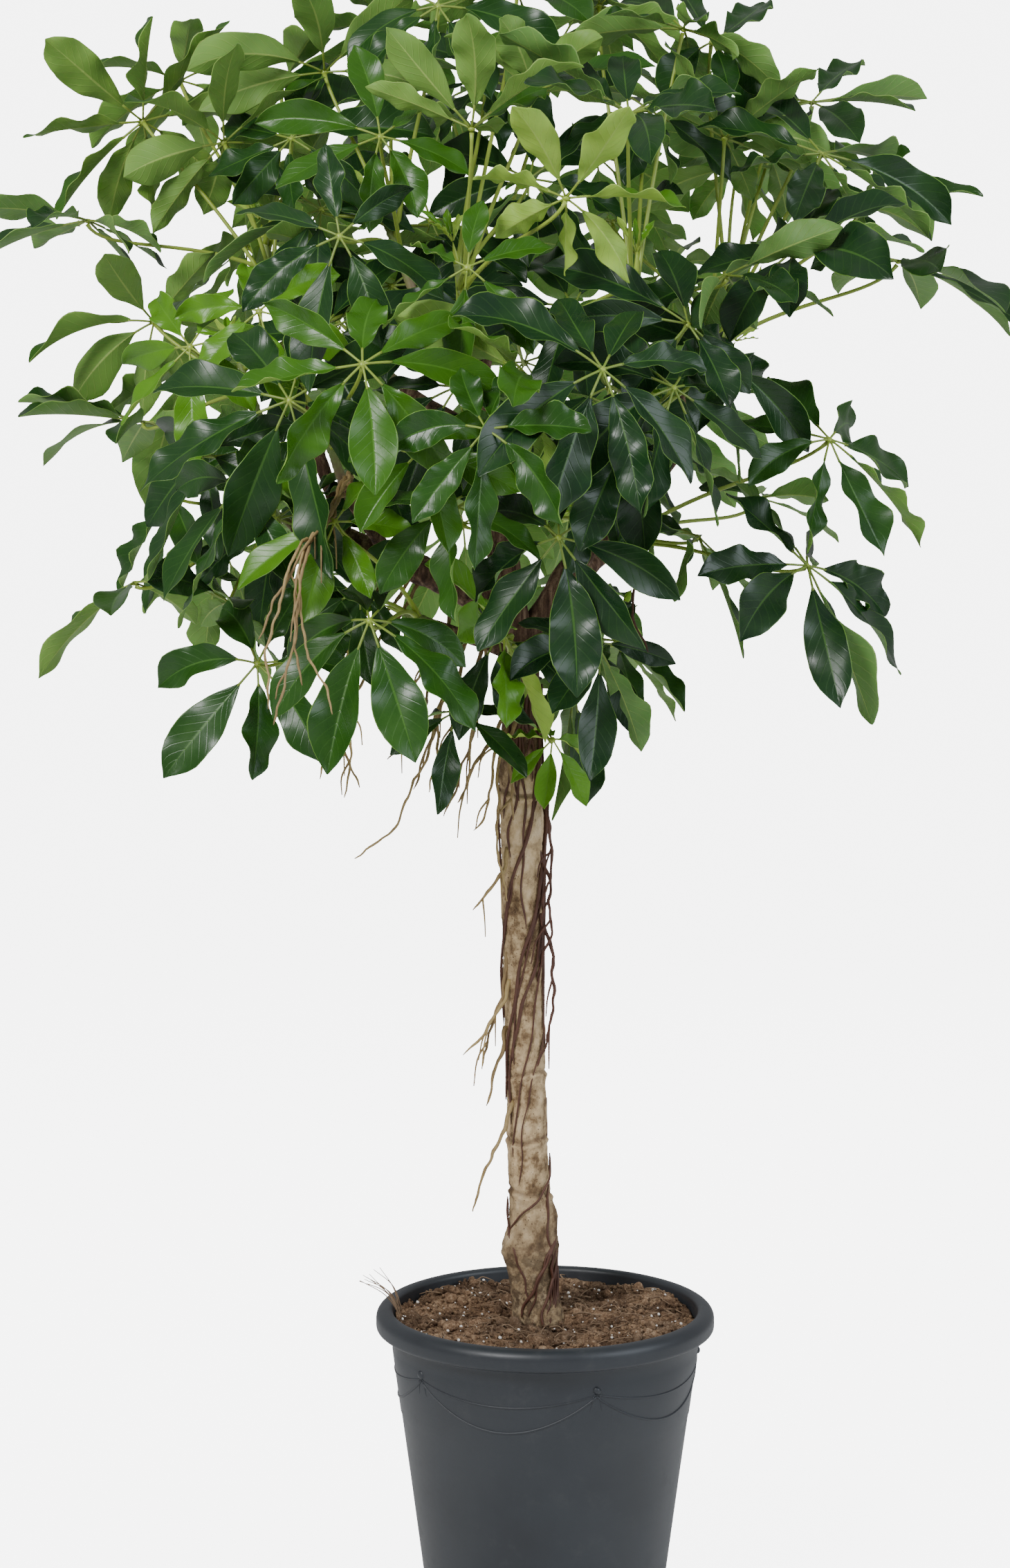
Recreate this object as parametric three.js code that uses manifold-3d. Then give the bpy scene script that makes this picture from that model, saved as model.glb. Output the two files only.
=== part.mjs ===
// A potted umbrella tree: a bare trunk out of a plastic pot of soil, bent aerial roots on it,
// and a round crown of green shoots whose leaves each carry a ring of leaflets on a long stalk.
// Millimetres, +Z up. The origin is on the floor, at the centre of the pot's base.
import * as THREE from "three";
import { mergeVertices } from "three/addons/utils/BufferGeometryUtils.js";
import Module from "manifold-3d";

const wasm = await Module();
wasm.setup();

// ---------------------------------------------------------------- driving dimensions

const POT_HEIGHT = 335;
const POT_BASE_RADIUS = 124;
const POT_NECK_RADIUS = 165; // outside, just under the rolled rim
const POT_NECK_HEIGHT = 311;
const RIM_RADIUS = 180;
const WALL = 3;
const FLOOR_THICKNESS = 4;
const POT_SIDES = 32;

const GAP = 0.4; // between pieces that touch
const SOIL_LEVEL = 315;
const SOIL_SIDES = 24;
const COLLAR_RADIUS = 26; // the trunk where it stands in the soil
const TRUNK_FOOT = 190;
const TRUNK_SIDES = 12;

const UP = new THREE.Vector3(0, 0, 1);
const DOWN = new THREE.Vector3(0, 0, -1);

// The trunk's centre line and radius, from its foot in the soil to where the crown begins.
const TRUNK = [
  { at: [-9, 0, TRUNK_FOOT], radius: COLLAR_RADIUS },
  { at: [-9, 0, 325], radius: COLLAR_RADIUS },
  { at: [-10, 0, 334], radius: 24 },
  { at: [-13, 0, 372], radius: 23.5 },
  { at: [-16, 0, 398], radius: 27 },
  { at: [-16, 0, 425], radius: 22.5 },
  { at: [-18, 0, 500], radius: 21.5 },
  { at: [-21, 0, 590], radius: 20.8 },
  { at: [-24, 0, 700], radius: 21 },
  { at: [-25, 0, 820], radius: 21.8 },
  { at: [-25, 0, 858], radius: 23.6 },
  { at: [-25, 0, 885], radius: 21.4 },
  { at: [-26, 0, 990], radius: 19.6 },
  { at: [-26, 0, 1062], radius: 19 },
];

// Woody limbs. Each runs from inside the one before it, and its ends carry the green shoots.
const LIMBS = [
  { from: 19, to: 14, path: [[-28, 0, 1034], [-66, -16, 1088], [-138, -32, 1125], [-205, -20, 1150]] },
  { from: 15, to: 12, path: [[-24, 0, 1035], [10, 6, 1095], [45, 4, 1150], [62, 0, 1215]] },
  { from: 15, to: 11, path: [[-26, 0, 1040], [-40, -12, 1120], [-52, -22, 1200], [-62, -18, 1300]] },
  { from: 13, to: 10, path: [[-28, 2, 1035], [-46, 60, 1110], [-62, 112, 1190], [-72, 140, 1260]] },
  { from: 12, to: 9, path: [[-22, 2, 1030], [20, 60, 1090], [62, 112, 1130], [96, 142, 1170]] },
];

// A leaf: where its centre is, and its size. Its axis leans from the vertical by lean degrees, towards
// heading degrees round from +X, and its leaflets start droop degrees below the plane across the axis.
const leaf = (at, size, lean, heading, droop) => ({ at, size, lean, heading, droop });

// Green shoots. wood is where the shoot leaves its limb, base is where the wood turns green, and tip
// is the growing point.
const SHOOTS = [
  {
    name: "shoot_upper_left",
    wood: [-205, -20, 1150],
    base: [-270, 50, 1350],
    tip: [-295, 90, 1455],
    leaves: [
      leaf([-425, 120, 1585], 1.1, 56, 118, 0),
      leaf([-335, 60, 1560], 1.0, 50, 110, 2),
      leaf([-280, 150, 1625], 0.95, 38, 95, 4),
      leaf([-478, 60, 1480], 1.0, 12, 60, 4),
      leaf([-395, 235, 1635], 0.95, 38, 110, 4),
      leaf([-279, 150, 1507], 1.0, 52, 135, 4),
      leaf([-263, 20, 1562], 0.98, 48, 255, 4),
    ],
  },
  {
    name: "shoot_left",
    wood: [-205, -20, 1150],
    base: [-285, 5, 1240],
    tip: [-315, 20, 1325],
    leaves: [
      leaf([-410, 60, 1375], 0.95, 52, 112, 4),
      leaf([-355, -150, 1350], 0.82, 62, 250, 8),
      leaf([-285, -165, 1385], 0.8, 52, 262, 8),
      leaf([-425, 90, 1270], 1.12, 10, 20, -2),
      leaf([-226, 60, 1440], 0.9, 40, 100, 8),
      leaf([-233, -40, 1364], 0.98, 54, 250, 6),
      leaf([-160, 20, 1412], 0.98, 56, 262, 8),
    ],
  },
  {
    name: "shoot_front_left",
    wood: [-150, -24, 1120],
    base: [-205, -120, 1215],
    tip: [-230, -180, 1285],
    leaves: [
      leaf([-175, -380, 1335], 1.02, 58, 275, 6),
      leaf([-345, -140, 1245], 0.9, 55, 230, 18),
      leaf([-248, -300, 1300], 1.12, 70, 262, 10),
      leaf([-120, -345, 1256], 0.8, 58, 270, 8),
      leaf([-300, -260, 1215], 0.9, 55, 240, 14),
      leaf([-165, -60, 1215], 0.8, 54, 255, 8),
    ],
  },
  {
    name: "shoot_top_left",
    wood: [-62, -18, 1300],
    base: [-135, 8, 1400],
    tip: [-165, 20, 1475],
    leaves: [
      leaf([-165, -160, 1555], 0.88, 60, 275, 2),
      leaf([-200, -285, 1455], 0.95, 72, 265, 5),
      leaf([-230, 60, 1632], 1.0, 55, 95, 6),
      leaf([-110, -50, 1690], 1.02, 45, 265, 8),
      leaf([-165, 160, 1690], 0.95, 25, 90, 6),
      leaf([-120, 60, 1480], 0.98, 52, 262, 6),
      leaf([-232, 20, 1490], 0.98, 54, 268, 6),
    ],
  },
  {
    name: "shoot_top",
    wood: [-62, -18, 1300],
    base: [-82, -80, 1355],
    tip: [-90, -100, 1425],
    leaves: [
      leaf([-75, -205, 1560], 0.95, 16, 95, -34),
      leaf([-30, 90, 1718], 1.0, 15, 90, 8),
      leaf([-15, -110, 1600], 0.85, 16, 60, -30),
      leaf([15, -300, 1490], 0.85, 46, 80, -4),
      leaf([-78, -330, 1425], 0.7, 66, 265, 8),
      leaf([-18, 20, 1521], 0.98, 52, 262, 8),
      leaf([-92, -60, 1309], 0.98, 56, 268, 8),
      leaf([-64, 60, 1628], 0.98, 44, 262, 4),
    ],
  },
  {
    name: "shoot_top_right",
    wood: [62, 0, 1215],
    base: [84, -42, 1340],
    tip: [90, -60, 1415],
    leaves: [
      leaf([78, -185, 1575], 1.05, 20, 280, -25),
      leaf([245, -125, 1445], 1.1, 30, 215, -6),
      leaf([55, 60, 1700], 1.0, 40, 80, 6),
      leaf([140, 10, 1672], 1.02, 14, 10, 0),
      leaf([176, -150, 1420], 0.98, 10, 180, 6),
      leaf([27, -20, 1389], 0.98, 58, 275, 6),
      leaf([108, 60, 1593], 0.98, 50, 285, 4),
    ],
  },
  {
    name: "shoot_right",
    wood: [62, 0, 1215],
    base: [155, 60, 1310],
    tip: [195, 80, 1372],
    leaves: [
      leaf([185, 50, 1564], 0.98, 45, 85, 0),
      leaf([280, -20, 1545], 1.05, 36, 300, 4),
      leaf([368, 60, 1438], 1.16, 16, 10, 0),
      leaf([281, 120, 1605], 1.0, 20, 250, -2),
      leaf([70, 100, 1480], 0.9, 30, 100, 6),
      leaf([240, 200, 1560], 0.95, 30, 30, 4),
      leaf([172, 60, 1663], 0.92, 40, 290, 2),
      leaf([330, 100, 1497], 0.85, 36, 120, 0),
    ],
  },
  {
    name: "shoot_lower_right",
    wood: [45, 4, 1150],
    base: [62, -30, 1140],
    tip: [76, -62, 1152],
    leaves: [
      leaf([282, -125, 1258], 0.98, 46, 302, 12),
      leaf([258, -165, 1134], 1.15, 50, 322, 6),
      leaf([152, -110, 1160], 0.88, 38, 350, 12),
      leaf([225, 70, 1190], 0.75, 20, 20, -14),
      leaf([57, -92, 1216], 0.95, 56, 288, 8),
    ],
  },
  {
    name: "shoot_front_right",
    wood: [62, 0, 1215],
    base: [88, -110, 1245],
    tip: [96, -165, 1288],
    leaves: [
      leaf([118, -300, 1312], 1.0, 54, 302, 12),
      leaf([175, -150, 1335], 0.95, 52, 318, 14),
      leaf([48, -375, 1330], 1.05, 60, 280, 10),
      leaf([134, -245, 1372], 0.95, 56, 302, 12),
      leaf([66, -190, 1290], 0.9, 56, 292, 10),
      leaf([63, -60, 1309], 0.98, 56, 285, 8),
    ],
  },
  {
    name: "shoot_front",
    wood: [-52, -22, 1200],
    base: [-40, -110, 1190],
    tip: [-36, -165, 1222],
    leaves: [
      leaf([-20, -330, 1322], 1.08, 72, 14, 12),
      leaf([-98, -330, 1202], 0.78, 58, 262, 8),
      leaf([8, -345, 1172], 0.98, 60, 264, 14),
      leaf([-60, -425, 1276], 0.86, 60, 264, 4),
      leaf([72, -330, 1262], 0.88, 56, 296, 12),
    ],
  },
  {
    name: "shoot_lower_left",
    wood: [-28, 0, 1030],
    base: [-112, -62, 1066],
    tip: [-142, -86, 1080],
    leaves: [
      leaf([-287, -205, 1040], 0.95, 58, 256, 8),
      leaf([-205, -305, 1185], 0.74, 60, 258, 8),
      leaf([-172, -320, 1092], 1.0, 46, 262, 24),
      leaf([-92, -130, 985], 0.7, 40, 255, 14),
      leaf([-235, -100, 1120], 0.9, 50, 220, 20),
      leaf([-188, -150, 1108], 0.72, 50, 240, 12),
    ],
  },
  {
    name: "shoot_low_front",
    wood: [-26, 0, 1010],
    base: [-34, -44, 1030],
    tip: [-40, -66, 1048],
    leaves: [
      leaf([-44, -150, 1066], 0.9, 62, 350, 6),
      leaf([6, -72, 950], 0.55, 50, 290, 34),
      leaf([52, -150, 1050], 0.85, 48, 335, 22),
      leaf([-50, -112, 1060], 0.72, 52, 258, 14),
    ],
  },
  {
    name: "shoot_low_right",
    wood: [-22, 2, 1020],
    base: [22, 34, 1030],
    tip: [44, 48, 1044],
    leaves: [
      leaf([30, 20, 992], 0.95, 40, 350, 40),
      leaf([76, 60, 1040], 0.85, 24, 0, 14),
      leaf([54, 165, 1094], 0.78, 40, 60, 18),
      leaf([50, -22, 1046], 0.68, 60, 280, 2),
    ],
  },
  {
    name: "shoot_low_left",
    wood: [-205, -20, 1150],
    base: [-262, 45, 1160],
    tip: [-285, 62, 1176],
    leaves: [
      leaf([-392, 40, 1195], 0.92, 52, 205, 12),
      leaf([-425, -30, 1108], 0.95, 20, 170, 8),
      leaf([-345, 125, 1135], 0.95, 50, 125, 14),
      leaf([-325, -60, 1090], 0.9, 30, 30, 0),
      leaf([-276, -60, 1175], 0.98, 50, 240, 10),
    ],
  },
  {
    name: "shoot_back_left",
    wood: [-72, 140, 1260],
    base: [-160, 225, 1310],
    tip: [-205, 255, 1350],
    leaves: [
      leaf([-330, 330, 1460], 1.0, 42, 138, 14),
      leaf([-200, 420, 1400], 1.0, 48, 112, 14),
      leaf([-390, 250, 1330], 1.0, 48, 150, 18),
      leaf([-235, 360, 1265], 1.0, 56, 118, 20),
      leaf([-250, 300, 1540], 0.95, 34, 120, 12),
    ],
  },
  {
    name: "shoot_back",
    wood: [-72, 140, 1260],
    base: [-58, 225, 1380],
    tip: [-50, 255, 1445],
    leaves: [
      leaf([-60, 445, 1470], 1.0, 46, 92, 14),
      leaf([60, 360, 1560], 1.0, 36, 72, 12),
      leaf([-105, 300, 1620], 1.0, 28, 100, 12),
      leaf([-20, 430, 1330], 1.0, 54, 88, 18),
      leaf([20, 215, 1680], 0.95, 20, 75, 14),
    ],
  },
  {
    name: "shoot_back_right",
    wood: [96, 142, 1170],
    base: [165, 205, 1270],
    tip: [196, 235, 1330],
    leaves: [
      leaf([255, 290, 1576], 1.0, 40, 60, 10),
      leaf([150, 400, 1440], 1.0, 46, 70, 12),
      leaf([150, 300, 1370], 1.0, 46, 60, 14),
      leaf([150, 370, 1280], 0.9, 50, 90, 14),
      leaf([215, 290, 1545], 0.95, 34, 55, 12),
    ],
  },
  {
    name: "shoot_low_back",
    wood: [96, 142, 1170],
    base: [62, 205, 1150],
    tip: [46, 235, 1160],
    leaves: [
      leaf([38, 330, 1195], 0.8, 50, 80, 16),
      leaf([-90, 330, 1150], 1.0, 54, 105, 22),
      leaf([40, 370, 1215], 0.95, 50, 84, 20),
    ],
  },
];

// Leaflets of a leaf of size 1
const LEAFLET_LENGTH = 146; // from the leaf's centre to the tip
const LEAFLET_WIDTH = 50;
const STALK_SHARE = 0.16; // of the leaflet's length, before its outline begins to widen
const BLADE_THICKNESS = 1.4;
const FOLD = 0.24; // how far the edges stand above the rib, as a share of the half width
const WAVE = 3.2; // how far the edges wave up and down
const BEND = 0.42; // how far the leaflet's own weight turns it down along its length
const leafletCount = (size) => (size > 1.0 ? 5 : 4);
const STATIONS = [0.34, 0.64, 1]; // shares of its length where a leaflet's surface has a cross-section
const LINE_STEPS = 50; // in which the line of its rib is worked out

const STALK_RADIUS = 1.6; // leaf stalks
const SHOOT_RADIUS = 5.2;
const HUB_RADIUS = 3.6;

// Aerial roots that cling to the trunk. Angles are degrees round from +X; -90 is the front.
const CLINGING = [
  { top: 985, bottom: 640, start: -30, end: -172, radius: 2.2 },
  { top: 880, bottom: 560, start: -4, end: -160, radius: 2.4 },
  { top: 1000, bottom: 690, start: 12, end: 2, radius: 1.9 },
  { top: 436, bottom: 328, start: 2, end: -122, radius: 2.3 },
  { top: 424, bottom: 330, start: -14, end: -58, radius: 2.0 },
  { top: 980, bottom: 745, start: -92, end: -84, radius: 1.6 },
];

const ROOT_STEP = 58; // between a clinging root's rings

// Aerial roots that hang free of the limbs: start in the wood, and the points they pass.
const HANGING = [
  [[-70, -14, 1074], [-100, -60, 1010], [-126, -80, 930], [-158, -90, 862], [-196, -96, 832]],
  [[-60, -12, 1066], [-76, -30, 1000], [-80, -38, 930], [-104, -44, 870]],
  [[-34, -14, 985], [-48, -24, 905], [-50, -34, 830], [-44, -38, 776]],
  [[-40, -16, 830], [-52, -32, 800], [-76, -44, 770]],
  [[-38, -14, 690], [-54, -30, 650], [-86, -44, 618]],
  [[-34, -14, 560], [-52, -30, 520], [-76, -38, 446]],
  [[-150, -26, 1118], [-196, -130, 1060], [-214, -190, 990], [-222, -200, 925]],
  [[-140, -26, 1114], [-184, -120, 1040], [-206, -170, 960], [-190, -182, 915]],
  [[60, 0, 1200], [96, -50, 1130], [88, -80, 1075], [104, -84, 1040]],
];

// ---------------------------------------------------------------- solids

const vector = (p) => new THREE.Vector3(...p);

// A closed geometry as a solid for joining and cutting.
function solidOf(geometry) {
  const bare = new THREE.BufferGeometry().setAttribute("position", geometry.getAttribute("position").clone());
  if (geometry.index) bare.setIndex(geometry.index);
  const merged = mergeVertices(bare, 1e-3);
  return new wasm.Manifold(
    new wasm.Mesh({
      numProp: 3,
      vertProperties: merged.attributes.position.array,
      triVerts: new Uint32Array(merged.index.array),
    }),
  );
}

function geometryOf(solid) {
  const { numProp, vertProperties, triVerts } = solid.getMesh();
  const points = new Float32Array((vertProperties.length / numProp) * 3);
  for (let i = 0; i < points.length / 3; i++) {
    points.set(vertProperties.subarray(i * numProp, i * numProp + 3), i * 3);
  }
  const geometry = new THREE.BufferGeometry();
  geometry.setAttribute("position", new THREE.BufferAttribute(points, 3));
  geometry.setIndex(new THREE.BufferAttribute(new Uint32Array(triVerts), 1));
  geometry.computeVertexNormals();
  return geometry;
}

// Fills any hollow that joining has sealed inside a solid.
function withoutHollows(solid) {
  const shells = solid.decompose().filter((shell) => shell.volume() > 0);
  return shells.reduce((all, shell) => all.add(shell));
}

// A surface in the making: points, and the triangles between them.
class Surface {
  points = [];
  triangles = [];

  point(p) {
    this.points.push(p);
    return this.points.length - 1;
  }

  ring(centre, a, b, radius, sides) {
    const made = [];
    for (let i = 0; i < sides; i++) {
      const angle = (2 * Math.PI * i) / sides;
      const spoke = a.clone().multiplyScalar(Math.cos(angle)).addScaledVector(b, Math.sin(angle));
      made.push(this.point(centre.clone().addScaledVector(spoke, radius)));
    }
    return made;
  }

  quad(a, b, c, d) {
    this.triangles.push([a, b, c], [a, c, d]);
  }

  // Joins two rings of as many points, the second further along.
  join(low, high) {
    low.forEach((_, i) => {
      const next = (i + 1) % low.length;
      this.quad(low[i], low[next], high[next], high[i]);
    });
  }

  // Joins two rings of unlike counts, whose points lie at these angles round one axis.
  bridge(low, lowAngles, high, highAngles) {
    let i = 0;
    let j = 0;
    const angleAt = (angles, k) => angles[k % angles.length] + 2 * Math.PI * Math.floor(k / angles.length);
    while (i < low.length || j < high.length) {
      const a = low[i % low.length];
      const b = high[j % high.length];
      const lowNext = i < low.length ? angleAt(lowAngles, i + 1) : Infinity;
      const highNext = j < high.length ? angleAt(highAngles, j + 1) : Infinity;
      if (lowNext < highNext) {
        this.triangles.push([a, low[(i + 1) % low.length], b]);
        i++;
      } else {
        this.triangles.push([a, high[(j + 1) % high.length], b]);
        j++;
      }
    }
  }

  cap(ring, facingBack) {
    for (let i = 1; i < ring.length - 1; i++) {
      this.triangles.push(facingBack ? [ring[0], ring[i + 1], ring[i]] : [ring[0], ring[i], ring[i + 1]]);
    }
  }

  geometry() {
    const geometry = new THREE.BufferGeometry().setFromPoints(this.points);
    geometry.setIndex(this.triangles.flat());
    return geometry;
  }

  solid() {
    return solidOf(this.geometry());
  }
}

// A closed tube along a curve. radiusAt gives the radius at a share of its length.
function tube(curve, radiusAt, sides, steps) {
  const surface = new Surface();
  const frames = curve.computeFrenetFrames(steps, false);
  let before = null;
  for (let i = 0; i <= steps; i++) {
    const share = i / steps;
    const centre = curve.getPointAt(share);
    const ring = surface.ring(centre, frames.normals[i], frames.binormals[i], radiusAt(share), sides);
    if (before) surface.join(before, ring);
    else surface.cap(ring, true);
    before = ring;
  }
  surface.cap(before, false);
  return surface.solid();
}

const curveThrough = (points) => new THREE.CatmullRomCurve3(points, false, "centripetal");
const taper = (from, to) => (share) => from + (to - from) * share;

// ---------------------------------------------------------------- pot and soil

function lathe(profile, sides) {
  const geometry = new THREE.LatheGeometry(profile.map(([r, z]) => new THREE.Vector2(r, z)), sides);
  return solidOf(geometry.rotateX(Math.PI / 2));
}

const wallRadius = (z) => POT_BASE_RADIUS + ((POT_NECK_RADIUS - POT_BASE_RADIUS) * z) / POT_NECK_HEIGHT;

function potSolid() {
  const outside = lathe(
    [
      [0, 0],
      [POT_BASE_RADIUS - 3, 0],
      [wallRadius(4), 4],
      [POT_NECK_RADIUS, POT_NECK_HEIGHT],
      [RIM_RADIUS - 4, POT_NECK_HEIGHT - 2],
      [RIM_RADIUS, POT_NECK_HEIGHT + 5],
      [RIM_RADIUS, POT_HEIGHT - 12],
      [RIM_RADIUS - 3, POT_HEIGHT - 3],
      [RIM_RADIUS - 8, POT_HEIGHT],
      [0, POT_HEIGHT],
    ],
    POT_SIDES,
  );
  const inside = lathe(
    [
      [0, FLOOR_THICKNESS],
      [wallRadius(FLOOR_THICKNESS) - WALL, FLOOR_THICKNESS],
      [wallRadius(POT_HEIGHT - 10) - WALL, POT_HEIGHT - 10],
      [wallRadius(POT_HEIGHT) - WALL + 3, POT_HEIGHT + 5],
      [0, POT_HEIGHT + 5],
    ],
    POT_SIDES,
  );
  return outside.subtract(inside);
}

// Low mounds and hollows in the soil's surface.
const soilBump = (x, y) =>
  4.5 * Math.sin(x / 31 + 0.8) * Math.cos(y / 27 - 0.4) +
  3 * Math.sin((x + 1.7 * y) / 17) +
  0.03 * Math.hypot(x, y);

function soilSolid() {
  const inner = (z) => (wallRadius(z) - WALL) * Math.cos(Math.PI / POT_SIDES) - GAP;
  const profile = [
    [0, FLOOR_THICKNESS + GAP],
    [inner(FLOOR_THICKNESS + GAP), FLOOR_THICKNESS + GAP],
    [inner(SOIL_LEVEL - 4), SOIL_LEVEL - 4],
    [136, SOIL_LEVEL],
    [104, SOIL_LEVEL],
    [68, SOIL_LEVEL],
    [44, SOIL_LEVEL],
    [0, SOIL_LEVEL],
  ];
  const geometry = new THREE.LatheGeometry(profile.map(([r, z]) => new THREE.Vector2(r, z)), SOIL_SIDES);
  geometry.rotateX(Math.PI / 2);
  const points = geometry.getAttribute("position");
  for (let i = 0; i < points.count; i++) {
    if (points.getZ(i) < SOIL_LEVEL - 1) continue;
    points.setZ(i, SOIL_LEVEL + soilBump(points.getX(i), points.getY(i)));
  }
  const [x, y] = TRUNK[0].at;
  const hole = new THREE.CylinderGeometry(COLLAR_RADIUS + GAP, COLLAR_RADIUS + GAP, 200, TRUNK_SIDES);
  hole.rotateX(Math.PI / 2).translate(x, y, TRUNK_FOOT - GAP + 100);
  return solidOf(geometry).subtract(solidOf(hole));
}

// ---------------------------------------------------------------- wood and roots

// The trunk's centre and radius at a height.
function trunkAt(z) {
  const next = Math.max(1, TRUNK.findIndex((t) => t.at[2] >= z));
  const [a, b] = [TRUNK[next - 1], TRUNK[next]];
  const share = (z - a.at[2]) / (b.at[2] - a.at[2]);
  return {
    centre: vector(a.at).lerp(vector(b.at), share),
    radius: a.radius + (b.radius - a.radius) * share,
  };
}

function trunkSolid() {
  const surface = new Surface();
  let before = null;
  const x = new THREE.Vector3(1, 0, 0);
  const y = new THREE.Vector3(0, 1, 0);
  for (const { at, radius } of TRUNK) {
    const ring = surface.ring(vector(at), x, y, radius, TRUNK_SIDES);
    if (before) surface.join(before, ring);
    else surface.cap(ring, true);
    before = ring;
  }
  surface.cap(before, false);
  return surface.solid();
}

// The wood between a limb and a shoot's green base, and the direction in which it ends.
function twigCurve(shoot) {
  const [wood, base, tip] = [shoot.wood, shoot.base, shoot.tip].map(vector);
  const along = tip.clone().sub(base).normalize();
  const middle = wood.clone().lerp(base, 0.5).addScaledVector(along, -base.distanceTo(wood) * 0.12);
  return curveThrough([wood, middle, base.clone().addScaledVector(along, -6), base]);
}

function woodSolid() {
  let wood = trunkSolid();
  for (const limb of LIMBS) {
    wood = wood.add(tube(curveThrough(limb.path.map(vector)), taper(limb.from, limb.to), 6, 4));
  }
  for (const shoot of SHOOTS) {
    wood = wood.add(tube(twigCurve(shoot), taper(8, SHOOT_RADIUS + 0.8), 4, 2));
  }
  for (const root of CLINGING) wood = wood.add(clingingRoot(root));
  for (const path of HANGING) {
    wood = wood.add(tube(curveThrough(path.map(vector)), taper(1.6, 0.8), 3, path.length - 1));
  }
  return withoutHollows(wood);
}

function clingingRoot({ top, bottom, start, end, radius }) {
  const points = [];
  const steps = Math.round((top - bottom) / ROOT_STEP) + 1;
  for (let i = 0; i <= steps; i++) {
    const share = i / steps;
    const z = top + (bottom - top) * share;
    const ease = share * share * (3 - 2 * share);
    const angle = THREE.MathUtils.degToRad(start + (end - start) * ease + 5 * Math.sin(9 * share));
    const { centre, radius: trunkRadius } = trunkAt(z);
    const out = new THREE.Vector3(Math.cos(angle), Math.sin(angle), 0);
    points.push(centre.addScaledVector(out, trunkRadius + radius * 0.3));
  }
  return tube(curveThrough(points), taper(radius, radius * 0.7), 3, steps);
}

// ---------------------------------------------------------------- leaves

const degrees = THREE.MathUtils.degToRad;

// Where a leaf sits and how it is turned: its centre, its axis, the way it points, and its stalk.
function leafFrame(shoot, leaf, index) {
  const { size, lean, heading, droop } = leaf;
  const centre = vector(leaf.at);
  const share = 0.35 + (0.65 * (index + 1)) / shoot.leaves.length;
  const start = vector(shoot.base).lerp(vector(shoot.tip), share);
  const axis = new THREE.Vector3(
    Math.sin(degrees(lean)) * Math.cos(degrees(heading)),
    Math.sin(degrees(lean)) * Math.sin(degrees(heading)),
    Math.cos(degrees(lean)),
  );
  const out = centre.clone().sub(start);
  out.addScaledVector(axis, -out.dot(axis)).normalize();
  const side = axis.clone().cross(out);
  return { centre, start, axis, out, side, size, droop, index };
}

// Half the blade's width at a share of the leaflet's length.
function halfWidth(share, width) {
  const blade = Math.max(0, (share - STALK_SHARE) / (1 - STALK_SHARE));
  return (width / 2) * Math.sin(Math.PI * Math.pow(Math.min(blade, 1), 1.12)) ** 0.75;
}

// A leaflet's cross-sections at the stations, each with its centre, rib side, and two edges.
function leafletSections(frame, turn, change) {
  const { centre, axis, out, side, size, droop, index } = frame;
  const reach = LEAFLET_LENGTH * size * (0.84 + 0.16 * Math.cos(turn)) * change.length;
  const width = LEAFLET_WIDTH * size * (0.88 + 0.12 * Math.cos(turn));
  const radial = out.clone().multiplyScalar(Math.cos(turn)).addScaledVector(side, Math.sin(turn));
  const drop = degrees(droop + change.droop + 5 * Math.sin(3 * turn + index));
  const first = radial.clone().multiplyScalar(Math.cos(drop)).addScaledVector(axis, -Math.sin(drop));
  first.addScaledVector(axis.clone().cross(radial), change.swing).normalize();
  const bend = BEND * (1 - 0.7 * Math.max(0, first.z));
  const sections = [];
  const at = centre.clone().addScaledVector(first, HUB_RADIUS * 0.5);
  const direction = first.clone();
  for (let i = 1; i <= LINE_STEPS; i++) {
    const share = i / LINE_STEPS;
    direction.copy(first).addScaledVector(DOWN, bend * share).normalize();
    at.addScaledVector(direction, reach / LINE_STEPS);
    if (!STATIONS.some((s) => Math.abs(s - share) < 0.4 / LINE_STEPS)) continue;
    const normal = axis.clone().addScaledVector(direction, -axis.dot(direction)).normalize();
    const right = direction.clone().cross(normal);
    const half = halfWidth(share, width);
    const lift = half * FOLD;
    const wave = WAVE * size * Math.sin(11 * share + 2 * turn);
    sections.push({
      at: at.clone(),
      normal,
      right: at.clone().addScaledVector(right, half).addScaledVector(normal, lift + wave),
      left: at.clone().addScaledVector(right, -half).addScaledVector(normal, lift - wave),
    });
  }
  return sections;
}

const rib = (section, height) => section.at.clone().addScaledVector(section.normal, height);

// Adds the leaflet's surface outwards from the face of the leaf's centre at [top, right, left].
function addLeaflet(surface, [top, right, left], sections, thickness) {
  const [low, high, tip] = sections;
  const half = thickness / 2;
  const corners = (section) =>
    [rib(section, half), section.right, rib(section, -half), section.left].map((p) => surface.point(p));
  const [t2, r2, b2, l2] = corners(low);
  surface.triangles.push([top, right, t2], [right, r2, t2], [right, b2, r2], [right, left, b2]);
  surface.triangles.push([left, l2, b2], [left, top, t2], [left, t2, l2]);
  const [t3, r3, b3, l3] = corners(high);
  surface.triangles.push([t2, r2, t3], [r2, r3, t3], [r2, b2, b3], [r2, b3, r3]);
  surface.triangles.push([b2, l2, b3], [l2, l3, b3], [l2, t2, t3], [l2, t3, l3]);
  const end = surface.point(tip.at);
  surface.triangles.push([t3, r3, end], [r3, b3, end], [b3, l3, end], [l3, t3, end]);
}

const ROOM = 1.2; // kept free above and below a blade

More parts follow.
